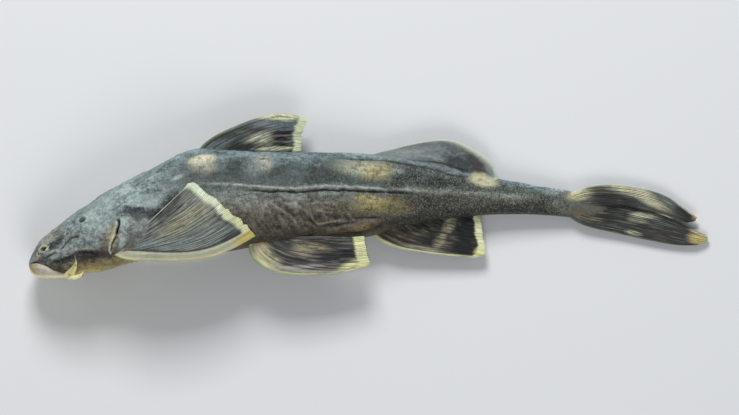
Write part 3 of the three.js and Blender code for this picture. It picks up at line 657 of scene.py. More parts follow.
# Blotches in the order in which they are laid: middle, half length, half depth, turn, colour,
# strength and raggedness. Those on the root of the tail are laid on both lobes of its fin too.
TAIL_ROOT = [
    ((152.0, 21.6), 4.4, 4.6, 0, (94, 97, 92), 0.85, 1.2),
    ((156.4, 20.8), 5.2, 3.6, 0, (94, 94, 83), 0.85, 1.2),
    ((154.6, 23.9), 3.6, 1.5, 8, (198, 192, 152), 0.9, 1.2),
    ((160.6, 25.4), 2.8, 0.9, 4, (98, 98, 74), 0.85, 1.2),
    ((156.4, 17.6), 4.6, 1.0, -14, (112, 98, 76), 0.7, 1.6),
]
BLOTCHES = [
    ((28.0, 24.5), 10.0, 4.4, 35, (150, 167, 168), 0.6, 1.6),
    ((20.0, 19.2), 6.0, 2.0, 38, (146, 160, 156), 0.6, 1.6),
    ((26.0, 19.6), 2.4, 1.6, 0, (90, 102, 102), 0.6, 1.4),
    ((30.2, 27.0), 2.6, 0.9, 36, (92, 106, 102), 0.7, 1.4),
    ((34.4, 28.4), 0.8, 0.4, 36, (178, 190, 186), 0.6, 1.4),
    ((33.8, 29.6), 3.0, 1.0, 36, (104, 118, 120), 0.7, 1.4),
    ((36.0, 25.2), 3.4, 0.8, 16, (94, 106, 104), 0.6, 1.4),
    ((42.0, 28.6), 1.7, 0.6, 24, (164, 177, 174), 0.55, 1.8),
    ((38.8, 31.6), 3.0, 0.8, 36, (92, 106, 104), 0.6, 1.4),
    ((27.6, 25.0), 1.8, 0.8, 40, (174, 188, 184), 0.6, 1.4),
    ((18.0, 22.0), 3.0, 0.7, 40, (112, 126, 124), 0.6, 1.4),
    ((22.4, 15.6), 1.8, 1.2, 0, (96, 106, 104), 0.6, 1.4),
    ((19.6, 13.4), 2.0, 0.5, 60, (154, 164, 156), 0.6, 1.4),
    ((17.2, 18.4), 1.6, 0.6, 30, (178, 190, 184), 0.6, 1.4),
    ((11.6, 12.6), 4.6, 1.5, 42, (104, 110, 106), 0.7, 1.6),
    ((6.2, 12.0), 4.4, 1.3, 42, (134, 126, 106), 0.6, 1.4),
    ((2.6, 7.4), 1.8, 2.4, -20, (86, 92, 78), 0.85, 1.0),
    ((3.0, 6.0), 1.5, 0.8, 10, (156, 140, 124), 0.8, 0.8),
    ((3.9, 5.2), 1.5, 0.5, -10, (50, 44, 46), 0.8, 0.8),
    ((7.6, 9.9), 2.7, 1.25, 20, (50, 56, 57), 0.9, 1.0),
    ((12.4, 9.8), 3.4, 1.6, 20, (128, 140, 135), 0.8, 1.2),
    ((16.2, 10.4), 2.2, 1.0, 0, (88, 100, 99), 0.7, 1.2),
    ((7.4, 5.6), 2.6, 0.8, 0, (90, 90, 84), 0.7, 1.0),
    # The next two blotches are painted shade in the hollow under the cheek ridge
    ((10.6, 5.6), 3.8, 1.2, 14, (27, 26, 28), 0.94, 0.8),
    ((18.2, 6.9), 5.6, 1.3, 3, (38, 34, 34), 0.92, 0.8),
    ((21.8, 8.2), 1.5, 2.2, 0, (58, 46, 40), 0.85, 0.8),
    ((8.8, 3.4), 2.2, 0.9, -18, (72, 62, 40), 0.8, 0.8),
    ((17.4, 2.6), 5.0, 0.8, 8, (176, 164, 100), 0.8, 0.8),
    ((18.0, 4.2), 4.4, 0.8, 10, (138, 120, 72), 0.7, 0.9),
    ((17.0, 5.2), 4.4, 0.6, 8, (94, 82, 70), 0.7, 0.9),
    ((25.0, 4.9), 4.6, 1.2, 14, (142, 130, 82), 0.9, 0.8),
    ((22.8, 12.2), 1.5, 3.4, -14, (124, 118, 100), 0.8, 0.8),
    ((24.1, 11.8), 0.8, 3.6, -14, (158, 148, 114), 0.85, 0.6),
    ((26.9, 13.0), 1.0, 5.0, -8, (152, 166, 164), 0.75, 0.8),
    ((33.0, 12.4), 4.6, 4.2, 0, (106, 110, 109), 0.85, 1.2),
    # Painted shadow in the hollow over the root of the pectoral fin
    ((32.5, 18.4), 6.4, 1.7, -4, (40, 47, 54), 0.8, 1.2),
    ((35.6, 21.6), 3.2, 1.0, -10, (132, 142, 141), 0.7, 1.4),
    ((48.8, 33.4), 3.3, 1.3, 10, (224, 219, 190), 0.95, 1.4),
    ((49.4, 31.6), 3.6, 2.0, 0, (150, 148, 132), 0.7, 1.4),
    ((65.8, 33.0), 2.6, 2.5, -20, (156, 153, 142), 0.8, 1.4),
    ((63.0, 31.4), 2.6, 2.6, 0, (128, 138, 136), 0.5, 1.6),
    ((83.5, 28.8), 6.0, 2.2, 0, (40, 50, 46), 0.65, 1.6),
    ((93.2, 31.0), 7.0, 2.4, -6, (146, 147, 128), 0.92, 1.8),
    ((97.4, 30.3), 4.4, 2.2, -4, (158, 152, 108), 0.85, 1.8),
    ((97.6, 28.4), 4.6, 0.9, -4, (108, 104, 74), 0.6, 1.4),
    ((97.0, 21.0), 7.4, 2.3, 0, (124, 116, 72), 0.9, 1.8),
    ((95.4, 22.5), 4.4, 1.0, -8, (162, 152, 110), 0.85, 1.6),
    ((103.0, 19.4), 4.4, 1.4, 0, (98, 91, 64), 0.7, 1.4),
    ((103.3, 30.5), 1.6, 1.1, 0, (122, 136, 132), 0.7, 1.2),
    ((104.3, 28.0), 2.8, 1.5, 0, (30, 38, 35), 0.85, 1.4),
    ((111.0, 27.6), 8.4, 1.4, -4, (34, 42, 38), 0.85, 1.6),
    ((93.5, 15.0), 4.6, 1.0, 15, (128, 114, 86), 0.8, 1.2),
    ((86.0, 12.8), 6.0, 0.8, 12, (92, 74, 36), 0.8, 1.0),
    ((95.2, 14.6), 2.4, 0.9, 10, (112, 94, 46), 0.8, 1.0),
    # Painted shadow: a dark line along the belly edge over the pelvic fin
    ((76.0, 9.8), 8.0, 0.7, 11, (48, 38, 24), 0.8, 1.0),
    ((106.0, 35.4), 9.0, 1.6, 10, (122, 134, 130), 0.8, 1.4),
    ((113.0, 37.0), 6.0, 1.2, 2, (110, 114, 118), 0.7, 1.4),
    ((112.0, 35.6), 3.0, 0.7, 10, (88, 94, 98), 0.6, 1.4),
    ((118.4, 36.4), 3.4, 0.9, -30, (84, 88, 90), 0.7, 1.4),
    ((116.6, 31.0), 4.4, 1.1, -20, (106, 114, 116), 0.7, 1.2),
    ((120.8, 32.4), 5.6, 1.9, -24, (40, 46, 49), 0.9, 1.0),
    ((125.0, 32.6), 4.8, 1.5, -48, (56, 50, 48), 0.9, 1.0),
    ((127.2, 27.8), 3.7, 1.6, -12, (194, 192, 156), 0.94, 1.8),
    ((139.0, 19.8), 5.4, 1.4, 0, (33, 35, 30), 0.88, 1.6),
    ((134.0, 22.6), 4.4, 1.0, -6, (96, 98, 90), 0.6, 1.8),
    ((144.5, 20.0), 3.0, 1.6, -8, (40, 42, 38), 0.75, 1.6),
    ((149.5, 21.6), 3.4, 1.5, 0, (100, 100, 92), 0.7, 1.6),
    ((146.6, 24.4), 3.4, 0.8, -8, (124, 134, 136), 0.7, 1.6),
] + TAIL_ROOT
wander = sums(tree, "ADD", cloud, mottle)
colour = lay_blotches(tree, place, wander, colour, BLOTCHES)
speck = eased(tree, sums(tree, "ADD", mottle, cloud), -0.02, 0.2)
lip_colour = over(tree, sums(tree, "MULTIPLY", speck, 0.6), tone(214, 207, 186), tone(140, 124, 104))
lip_colour = over(tree, eased(tree, x_mm, 3.4, 0.6), lip_colour, tone(170, 150, 98))
lip_colour = over(tree, shade_of(tree, "lip_rim"), lip_colour, tone(250, 244, 184))
colour = over(tree, shade_of(tree, "lip"), colour, lip_colour)
amount = sums(tree, "MULTIPLY", mottle, sums(tree, "MULTIPLY_ADD", on_rear, 1.2, 2.8))
amount = sums(tree, "MULTIPLY_ADD", cloud, 2.2, amount)
striped = sums(tree, "SUBTRACT", 1.0, sums(tree, "MAXIMUM", on_head, on_rear))
amount = sums(tree, "MULTIPLY_ADD", marks, sums(tree, "MULTIPLY_ADD", striped, 0.9, 0.4), amount)
amount = sums(tree, "MULTIPLY_ADD", pores, sums(tree, "MULTIPLY_ADD", on_rear, 1.4, 1.6), amount)
amount = sums(tree, "MULTIPLY", amount, sums(tree, "MULTIPLY_ADD", fatty, -0.72, 1.0))
# The grain and the specks are weak on the root of the tail fin
to_root = sums(tree, "MULTIPLY_ADD", eased(tree, x_mm, 147.0, 155.0), -0.8, 1.0)
amount = sums(tree, "MULTIPLY", amount, to_root)
pale = sums(tree, "MAXIMUM", eased(tree, brightness(tree, colour), 0.25, 0.56), shade_of(tree, "lip"))
amount = sums(tree, "MULTIPLY", amount, sums(tree, "MULTIPLY_ADD", pale, -0.7, 1.0))
# Painted shade and highlight from the relief height: sunk skin darker, raised skin lighter
amount = sums(tree, "MULTIPLY_ADD", shade_of(tree, "rise"), 0.5, amount)
colour = shaded(tree, colour, amount)
speckled = sums(tree, "MULTIPLY", stipple, sums(tree, "MULTIPLY_ADD", on_rear, 0.2, 0.08))
specks = sums(tree, "MULTIPLY", eased(tree, pores, 0.06, 0.2), sums(tree, "MULTIPLY_ADD", on_rear, 0.4, 0.02))
speckled = sums(tree, "MULTIPLY", sums(tree, "ADD", speckled, specks), sums(tree, "SUBTRACT", 1.0, fatty))
speckled = sums(tree, "MULTIPLY", speckled, to_root)
colour = over(tree, speckled, colour, tone(164, 166, 148))
slime = eased(tree, sums(tree, "ADD", mottle, pores), 0.14, 0.30)
slime = sums(tree, "MULTIPLY", slime, sums(tree, "MULTIPLY_ADD", on_head, 0.34, 0.05))
slime = sums(tree, "MULTIPLY", slime, eased(tree, height_share, 0.2, 0.45))
colour = over(tree, slime, colour, tone(196, 206, 202))
# Painted shade: the skin is darkened towards near black along the sunk furrows, wrinkles, folds and slits
painted_crease_shading = shade_of(tree, "painted_shading")
colour = over(tree, sums(tree, "MULTIPLY", painted_crease_shading, 0.85, clamp=True), colour, tone(20, 18, 17))
# Painted highlight: a lighter tone, broken by the grain, along the raised folds and ridges
grainy = sums(tree, "MULTIPLY_ADD", sums(tree, "ADD", mottle, pores), 2.2, 0.75, clamp=True)
ridge_highlight = sums(tree, "MULTIPLY", sums(tree, "MULTIPLY", painted_crease_shading, -0.45, clamp=True), grainy)
ridge_highlight_tone = over(tree, eased(tree, height_share, 0.38, 0.52), tone(150, 140, 122), tone(176, 182, 172))
colour = over(tree, ridge_highlight, colour, ridge_highlight_tone)
colour = over(tree, sums(tree, "MULTIPLY", shade_of(tree, "nostril"), 0.9), colour, tone(80, 48, 22))
colour = over(tree, shade_of(tree, "rim"), colour, tone(204, 213, 194))
tree.links.new(colour, surface.inputs["Base Color"])
surface.inputs["Specular IOR Level"].default_value = 0.3
tree.links.new(sums(tree, "MULTIPLY_ADD", mottle, 0.5, 0.5), surface.inputs["Roughness"])
roughen(tree, surface, texture["Height"], strength=0.6, distance=0.22)
body.data.materials.append(skin_material)


# Eyes: small clouded domes, one on each side, sunk a little in the rim of their socket.
# The lens has dried dark under a dull silver-blue skin.
EYE_RINGS = 14
EYE_SIDES = 40
EYE_SPREAD = 1.15  # the dome is this much wider than the opening that it fills
EYE_RISE = 0.40
EYE_SINK = 0.36
eye_material, tree, surface = new_material("clouded eye")
clouding = add(tree, "ShaderNodeTexNoise", {"Vector": drawn_place(tree), "Scale": 2.2, "Detail": 2.0})
edge = sums(tree, "MULTIPLY_ADD", clouding.outputs[0], 0.35, shade_of(tree, "from_centre"))
tree.links.new(ramp(tree, edge, [
    (0.0, (52, 72, 76)), (0.6, (34, 48, 52)), (0.9, (40, 52, 54)), (1.0, (96, 110, 108)),
    ]), surface.inputs["Base Color"])
surface.inputs["Roughness"].default_value = 0.3
surface.inputs["Coat Weight"].default_value = 0.3
surface.inputs["Coat Roughness"].default_value = 0.25
for name, facing in (("eye_left", 1), ("eye_right", -1)):
    rows = np.linspace(0.02, 1, EYE_RINGS)[:, None]
    turn = np.linspace(0, 2 * np.pi, EYE_SIDES, endpoint=False)[None, :]
    ahead = EYE_HALF[0] * EYE_SPREAD * rows * np.cos(turn)
    up = EYE_HALF[1] * EYE_SPREAD * rows * np.sin(turn)
    x = EYE[0] + ahead * math.cos(EYE_TILT) - up * math.sin(EYE_TILT)
    y = EYE[1] + ahead * math.sin(EYE_TILT) + up * math.cos(EYE_TILT)
    stand = EYE_RISE * np.sqrt(1 - 0.96 * rows ** 2) - EYE_SINK + 0 * turn
    z = middle_line(x) + facing * (flank_reach(x, y) + stand)
    behind_z = middle_line(x[-1]) + facing * (flank_reach(x[-1], y[-1]) - 1.0)
    middle_z = middle_line(EYE[0]) + facing * (flank_reach(*EYE) + np.array([0.04, -1.2]))
    points = np.vstack([
        np.stack([x, y, z], -1).reshape(-1, 3), np.stack([x[-1], y[-1], behind_z], -1),
        [*EYE, middle_z[0]], [*EYE, middle_z[1]]])
    out_share = np.concatenate([np.repeat(rows, EYE_SIDES), np.ones(EYE_SIDES), [0, 1]])
    eye = make_piece(name, points, ring_faces(EYE_RINGS + 1, EYE_SIDES), None, {"from_centre": out_share})
    eye.data.materials.append(eye_material)
    face_out(eye)


# Barbels and nose flaps: short flattened feelers of gristle under skin. A broad one runs from each
# corner of the mouth up the cheek, two pairs hang under the chin, and a flap stands at each nostril.
def sweep(name, path, widths, thicknesses, facing, rings=36, sides=14, tint=(0.0, 1.0), seed=1):
    """A flattened rod along a path, its flat side towards the given direction."""
    centre = smooth_path(path, 12)
    spread = np.concatenate([[0], np.cumsum(np.linalg.norm(np.diff(centre, axis=0), axis=1))])
    share = np.linspace(0, 1, rings)
    centre = np.stack([np.interp(share * spread[-1], spread, centre[:, k]) for k in range(3)], -1)
    ahead = np.gradient(centre, axis=0)
    ahead /= np.linalg.norm(ahead, axis=1, keepdims=True)
    wide = np.cross(facing, ahead)
    wide /= np.linalg.norm(wide, axis=1, keepdims=True)
    thin = np.cross(ahead, wide)
    angle = np.linspace(0, 2 * np.pi, sides, endpoint=False)
    knobs = lumps(seed)(share[:, None] * 9, 2 * np.cos(angle)[None, :], 2 * np.sin(angle)[None, :])
    uneven = 1 + 0.12 * knobs
    half_wide = 0.5 * line(widths)(share)[:, None] * uneven
    half_thin = 0.5 * line(thicknesses)(share)[:, None] * uneven
    points = centre[:, None, :] + (half_wide * np.cos(angle))[..., None] * wide[:, None, :]
    points = points + (half_thin * np.sin(angle))[..., None] * thin[:, None, :]
    points = np.vstack([points.reshape(-1, 3), centre[0], centre[-1] + 0.05 * ahead[-1]])
    points[:, 2] = np.maximum(points[:, 2], TABLE)
    along = np.interp(np.append(np.repeat(share, sides), [0, 1]), [0, 1], tint)
    return face_out(make_piece(name, points, ring_faces(rings, sides), None, {"along": along}))


def on_cheek(points, facing):
    """Points drawn on the flank, each with its lift from the skin."""
    return [(x, y, float(middle_line(x) + facing * (flank_reach(x, y) + lift))) for x, y, lift in points]


def under_chin(points, facing):
    """Points drawn under the chin, each with its distance out from the middle."""
    return [(x, y, float(middle_line(x) + facing * out)) for x, y, out in points]


barbel_material, tree, surface = new_material("dried barbel")
texture = use(tree, grain, {"Place": drawn_place(tree)})
colour = ramp(tree, shade_of(tree, "along"), [
    (0.0, (250, 244, 184)), (0.45, (236, 226, 160)), (0.7, (190, 174, 126)), (1.0, (134, 112, 98))])
colour = over(tree, eased(tree, texture["Mottle"], -0.06, -0.26), colour, tone(136, 116, 74))
tree.links.new(colour, surface.inputs["Base Color"])
surface.inputs["Roughness"].default_value = 0.45
roughen(tree, surface, texture["Height"], strength=0.5, distance=0.1)
for name, facing in (("left", 1), ("right", -1)):
    outside = (0, 0, facing)
    jaw = on_cheek([(9.8, 1.1, -0.3), (10.9, 1.9, 0.3), (12.0, 2.9, 0.5), (12.9, 4.0, 0.5), (13.4, 5.1, 0.35),
                    (13.4, 6.1, 0.15), (13.2, 7.0, -0.1)], facing)
    web = on_cheek([(10.9, 0.8, -0.2), (11.7, 1.6, 0.2), (12.6, 2.6, 0.38), (13.3, 3.7, 0.32),
                    (13.6, 4.8, 0.1), (13.5, 5.6, -0.1)], facing)
    chin_outer = under_chin([(11.6, 1.2, 7.2), (12.8, 0.75, 8.0), (14.0, 0.9, 8.8), (15.0, 1.5, 9.4),
                             (15.6, 2.3, 9.7)], facing)
    chin_inner = under_chin([(10.6, 1.6, 2.6), (13.0, 0.7, 2.9), (15.2, 1.4, 3.2)], facing)
    flap = on_cheek([(3.4, 8.5, -0.1), (4.0, 9.3, 0.3), (4.8, 9.65, 0.4), (5.4, 9.2, 0.35),
                     (5.2, 8.6, -0.1)], facing)
    fringe = on_cheek([(5.0, 8.3, -0.1), (5.7, 9.0, 0.22), (6.1, 9.7, 0.05)], facing)
    feelers = [
        sweep(f"barbel_jaw_{name}", jaw, [(0, 1.2), (0.3, 0.8), (0.6, 0.5), (0.85, 0.3), (1, 0.12)],
              [(0, 1.0), (0.5, 0.6), (1, 0.15)], outside, seed=21),
        sweep(f"barbel_web_{name}", web, [(0, 2.7), (0.3, 2.4), (0.6, 1.8), (0.85, 0.8), (1, 0.15)],
              [(0, 0.7), (0.5, 0.5), (1, 0.2)], outside, rings=30, tint=(0.0, 0.5), seed=22),
        sweep(f"barbel_chin_outer_{name}", chin_outer, [(0, 1.5), (0.5, 1.2), (0.8, 0.7), (1, 0.2)],
              [(0, 1.0), (0.5, 0.7), (1, 0.2)], outside, tint=(0.0, 0.3), seed=23),
        sweep(f"barbel_chin_inner_{name}", chin_inner, [(0, 1.2), (0.5, 0.9), (1, 0.2)],
              [(0, 0.7), (1, 0.2)], (0, 1, 0), rings=20, seed=24),
        sweep(f"nose_flap_{name}", flap, [(0, 0.45), (0.5, 0.42), (1, 0.15)], [(0, 0.35), (1, 0.15)],
              outside, rings=28, seed=25),
        sweep(f"nose_fringe_{name}", fringe, [(0, 0.32), (0.5, 0.3), (1, 0.1)], [(0, 0.3), (1, 0.1)],
              outside, rings=16, seed=26),
    ]
    for feeler in feelers:
        feeler.data.materials.append(barbel_material)


# Dorsal fin: a stiff leading spine and six forked soft rays with skin between them, dried half
# open over the back. Dark slate at the root, then a pale band, a black band and a cream margin.
def edge_curve(points):
    """A drawn edge as a function of the share of its length."""
    drawn = smooth_path(points, 24)
    spread = np.concatenate([[0], np.cumsum(np.linalg.norm(np.diff(drawn, axis=0), axis=1))])
    return lambda share: np.stack([np.interp(share * spread[-1], spread, drawn[:, k]) for k in range(2)], -1)


# Furrows between the rays: place between two rays, where the fork starts and ends, and depth
FORKS = [(0.5, -1.0, 0.0, 1.0), (0.0, 0.28, 0.55, 0.85), (0.25, 0.78, 0.98, 0.6), (-0.25, 0.78, 0.98, 0.6)]
VALLEY = 0.13  # half width of the sunk skin between two rays


def ray_valleys(u, v, rays, spacing, seed):
    """0 on a ray and 1 in the skin between two; each ray forks once, and again near the margin."""
    phase = v * (rays - 1) + 0.36 * lumps(seed + 50)(u * 2.5, v * rays * 0.7)
    width = np.clip(VALLEY / spacing, 0.02, 0.22)
    valley = np.zeros(np.broadcast(u, v).shape)
    for shift, start, end, depth in FORKS:
        off = np.abs(phase - shift - np.round(phase - shift))
        valley = np.maximum(valley, depth * ease(u, start, end) * np.exp(-((off / width) ** 2)))
    return valley


ROOT_DIP = 0.75  # a fin in the middle plane starts this far under the skin
FLUTE_REACH = 3.0  # how far in from the margin a fin is fluted
FLUTE_HEIGHT = 0.26
THINNEST = 0.1  # half of the least thickness


def make_fin(name, lead, trail, root, margin, rays, columns, rows, thickness, height, relief=0.09,
             fringe=0.3, spine=0.0, wave=0.15, fillet=0.0, fleshy=False, firm=0.0, creases=(), seed=1):
    """A blade stretched over four drawn edges, with rays, a fringed margin and two skins.

    A fillet of more than 0 rounds a fin in the middle plane off into the flank of the body. A
    fleshy fin has no rays, and its skin is coloured as that of the body. The leading edge is
    unfurrowed over the firm width.
    """
    u = np.linspace(0, 1, rows + 1)[:, None]
    v = np.linspace(0, 1, columns + 1)[None, :]
    lead_edge, trail_edge = edge_curve(lead)(u[:, 0]), edge_curve(trail)(u[:, 0])
    root_edge, outer_edge = edge_curve(root)(v[0]), edge_curve(margin)(v[0])
    uu, vv = u[..., None], v[..., None]
    blade = (1 - vv) * lead_edge[:, None] + vv * trail_edge[:, None]
    blade = blade + (1 - uu) * root_edge[None] + uu * outer_edge[None]
    blade = blade - (1 - uu) * (1 - vv) * lead_edge[0] - uu * (1 - vv) * lead_edge[-1]
    blade = blade - (1 - uu) * vv * trail_edge[0] - uu * vv * trail_edge[-1]
    from_lead = np.linalg.norm(np.diff(blade, axis=1), axis=-1)
    from_lead = np.hstack([np.zeros((rows + 1, 1)), np.cumsum(from_lead, axis=1)])
    from_trail = from_lead[:, -1:] - from_lead
    valley = np.zeros(from_lead.shape)
    if not fleshy:
        valley = ray_valleys(u, v, rays, np.maximum(from_lead[:, -1:], 0.5) / (rays - 1), seed)
    if firm:
        valley = valley * ease(from_lead, firm, firm + 0.6)
    ragged = lumps(seed)
    ahead = blade[-1] - blade[-6]
    ahead /= np.maximum(np.linalg.norm(ahead, axis=-1, keepdims=True), 1e-9)
    uneven = 0.5 - valley[-1] + 0.8 * ragged(v[0] * rays * 1.7, 0.4) + 0.4 * ragged(v[0] * rays * 4.3, 7.4)
    uneven = uneven * np.sin(np.pi * np.clip(v[0], 0.001, 0.999)) ** 0.5
    blade = blade + fringe * (ease(u, 0.85, 1)[..., None] * (uneven[:, None] * ahead)[None])
    x, y = blade[..., 0], blade[..., 1]
    to_margin = np.linalg.norm(np.diff(blade, axis=0), axis=-1)
    to_margin = np.vstack([np.cumsum(to_margin[::-1], axis=0)[::-1], np.zeros((1, columns + 1))])
    flutes = np.exp(-((to_margin / FLUTE_REACH) ** 2))
    half = 0.5 * line(thickness)(u) - relief * valley * (1 - 0.4 * u + 0.5 * flutes)
    half = half + spine * np.exp(-((from_lead / 1.1) ** 2)) * (1 - 0.6 * u)
    for gap, reach in ((from_lead, 0.9), (from_trail, 0.4), (to_margin, 0.3)):
        half = half * (0.3 + 0.7 * round_off(gap, reach))
    half = np.maximum(half, THINNEST)
    if fillet:
        flank = flank_reach(np.minimum(x, BODY_LENGTH), y) - ROOT_DIP
        rounding = fillet * ease(u, 0, 0.2) * np.clip(flank + ROOT_DIP, 0, 1)
        half = 0.5 * (half + flank + np.sqrt((half - flank) ** 2 + rounding ** 2))
    # Creases thin the blade, with painted shade laid along a sunk one and a painted highlight along a raised
    # one
    for path, wide, depth, dark in creases:
        distance, share = off_path(path, x, y)
        felt = np.exp(-((distance / wide) ** 2)) * ease(share, 0, 0.15) * ease(1 - share, 0, 0.15)
        half = half - depth * felt
        valley = valley + dark * felt
    z = height(x, y, u, v) + wave * ease(u, 0.1, 0.6) * ragged(u * 2.2, v * rays * 0.45, 3.3)
    z = z + FLUTE_HEIGHT * flutes * ragged(v * rays * 1.6, u * 3.0, 5.5)
    z = np.maximum(z, half + TABLE)
    top = np.stack([x, y, z + half], -1).reshape(-1, 3)
    bottom = np.stack([x, y, z - half], -1).reshape(-1, 3)
    at = np.arange((rows + 1) * (columns + 1)).reshape(rows + 1, columns + 1)
    a, b, c, d = at[:-1, :-1], at[:-1, 1:], at[1:, 1:], at[1:, :-1]
    below = at.size
    faces = np.stack([a, b, c, d], -1).reshape(-1, 4).tolist()
    faces += (np.stack([a, d, c, b], -1).reshape(-1, 4) + below).tolist()
    rim = np.concatenate([at[0, :], at[1:, -1], at[-1, -2::-1], at[-2:0:-1, 0]])
    faces += [(p, q, q + below, p + below)[::-1] for p, q in zip(rim, np.roll(rim, -1))]
    drawn = np.stack(np.broadcast_arrays(u, v), -1).reshape(-1, 2)
    shades = {"valley": valley, "to_margin": to_margin, "from_lead": from_lead, "from_trail": from_trail}
    if fleshy:
        back, belly = section_at(x)[:2]
        drawn = np.stack([x / BODY_LENGTH, (y - belly) / (back - belly)], -1).reshape(-1, 2)
        edging = 0.4 + 0.65 * ease(x, 112, 126)  # the pale rim widens towards the tail
        shades = {"painted_shading": valley, "rim": 0.92 * ease(x, 97, 103) * np.exp(-((to_margin / edging) ** 2))}
    fin = make_piece(name, np.vstack([top, bottom]), faces, np.vstack([drawn, drawn]),
                     {key: np.tile(value.ravel(), 2) for key, value in shades.items()})
    fin.data.set_sharp_from_angle(angle=math.radians(50))
    return face_out(fin)


# A band of pigment between two distances, its edges drawn out along the rays
band, given, out = new_group("pigment band", [
    ("Distance", "NodeSocketFloat", 0.0), ("From", "NodeSocketFloat", 0.0), ("To", "NodeSocketFloat", 1.0),
    ("Soft", "NodeSocketFloat", 0.3), ("Wander", "NodeSocketFloat", 0.0),
], ["Mask"])
moved = sums(band, "ADD", given["Distance"], given["Wander"])
edges = []
for end in ("From", "To"):
    before, past = (sums(band, way, given[end], given["Soft"]) for way in ("SUBTRACT", "ADD"))
    edges.append(eased(band, moved, before, past))
band.links.new(sums(band, "SUBTRACT", *edges), out["Mask"])

# Streaks along the rays, broad ones and fine ones
streaks, given, out = new_group("ray streaks", [
    ("Rays", "NodeSocketVector", None), ("Across", "NodeSocketFloat", 10.0), ("Seed", "NodeSocketFloat", 0.0),
], ["Broad", "Fine"])
spread_rays = add(streaks, "ShaderNodeSeparateXYZ", {0: given["Rays"]})
for socket, along, finer in (("Broad", 1.8, 0.8), ("Fine", 6.0, 3.0)):
    lengthwise = sums(streaks, "MULTIPLY", spread_rays.outputs[0], along)
    number = sums(streaks, "MULTIPLY", given["Across"], finer)
    crosswise = sums(streaks, "MULTIPLY", spread_rays.outputs[1], number)
    vector = add(streaks, "ShaderNodeCombineXYZ", {0: lengthwise, 1: crosswise, 2: given["Seed"]})
    noise = add(streaks, "ShaderNodeTexNoise", {"Vector": vector.outputs[0], "Scale": 1.0, "Detail": 2.0})
    streaks.links.new(sums(streaks, "SUBTRACT", noise.outputs[0], 0.5), out[socket])


PALE = 450  # a band whose three channels add up to more than this is a pale one


def fin_material(name, base, layers, rays=10.0, seed=0.0, lines=0.6, contrast=1.6, gleam=0.2,
                 bare=(0.04, 0.3)):
    """Fin skin: a base, then blotches and bands in turn, streaks, and painted shade in the sunk skin between
    the rays.

    A layer that starts with a place is a blotch, and one that starts with a measure is a band.
    Streaks and lines are weaker on a pale band.
    """
    material, tree, surface = new_material(name)
    place = drawn_place(tree)
    texture = use(tree, grain, {"Place": place})
    drawn = add(tree, "ShaderNodeUVMap", uv_map="drawn").outputs[0]
    run = use(tree, streaks, {"Rays": drawn, "Across": rays, "Seed": seed})
    wander = sums(tree, "MULTIPLY_ADD", run["Fine"], 0.7, run["Broad"])
    colour = tone(*base)
    plain = 1.0
    for layer in layers:
        if isinstance(layer[0], tuple):
            colour = lay_blotches(tree, place, wander, colour, [layer])
            continue
        measure, start, end, soft, ragged, shade, strength = layer
        mask = use(tree, band, {
            "Distance": shade_of(tree, measure), "From": start, "To": end, "Soft": soft,
            "Wander": sums(tree, "MULTIPLY", wander, ragged)})["Mask"]
        mask = sums(tree, "MULTIPLY", mask, strength)
        colour = over(tree, mask, colour, tone(*shade))
        if sum(shade) > PALE:
            plain = sums(tree, "MINIMUM", plain, sums(tree, "SUBTRACT", 1.0, mask))
    streak = sums(tree, "MULTIPLY", run["Fine"], contrast)
    streak = sums(tree, "MULTIPLY_ADD", run["Broad"], 0.7 * contrast, streak)
    streak = sums(tree, "MULTIPLY_ADD", texture["Mottle"], 1.2, streak)
    streak = sums(tree, "MULTIPLY_ADD", texture["Pores"], 1.0, streak)
    streak = sums(tree, "MULTIPLY", streak, sums(tree, "MULTIPLY_ADD", plain, 0.7, 0.3))
    colour = shaded(tree, colour, streak)
    bright = sums(tree, "MULTIPLY", eased(tree, run["Fine"], 0.02, 0.2), gleam)
    bright = sums(tree, "MULTIPLY", bright, eased(tree, brightness(tree, colour), 0.008, 0.045))
    colour = over(tree, sums(tree, "MULTIPLY", bright, plain), colour, tone(158, 154, 134))
    along = add(tree, "ShaderNodeSeparateXYZ", {0: drawn}).outputs[0]
    at_root = sums(tree, "MULTIPLY", eased(tree, along, 0.2, 0.0), 0.1)
    speckled = sums(tree, "MULTIPLY", texture["Stipple"], at_root)
    colour = over(tree, speckled, colour, tone(178, 180, 168))
    # Painted shade in the sunk skin between the rays, weaker near the root and on pale bands
    depth = sums(tree, "MULTIPLY_ADD", run["Broad"], 3.0, lines, clamp=True)
    sunk = sums(tree, "MULTIPLY", shade_of(tree, "valley"), depth)
    sunk = sums(tree, "MULTIPLY", sunk, eased(tree, along, *bare))
    sunk = sums(tree, "MULTIPLY", sunk, sums(tree, "MULTIPLY_ADD", plain, 0.8, 0.2))
    colour = over(tree, sunk, colour, tone(22, 23, 26))
    tree.links.new(colour, surface.inputs["Base Color"])
    tree.links.new(sums(tree, "MULTIPLY_ADD", texture["Mottle"], 0.5, 0.5), surface.inputs["Roughness"])
    surface.inputs["Specular IOR Level"].default_value = 0.28
    strain = sums(tree, "MULTIPLY_ADD", run["Fine"], 1.4, sums(tree, "MULTIPLY", texture["Height"], 0.5))
    roughen(tree, surface, strain, strength=0.6, distance=0.16)
    return material


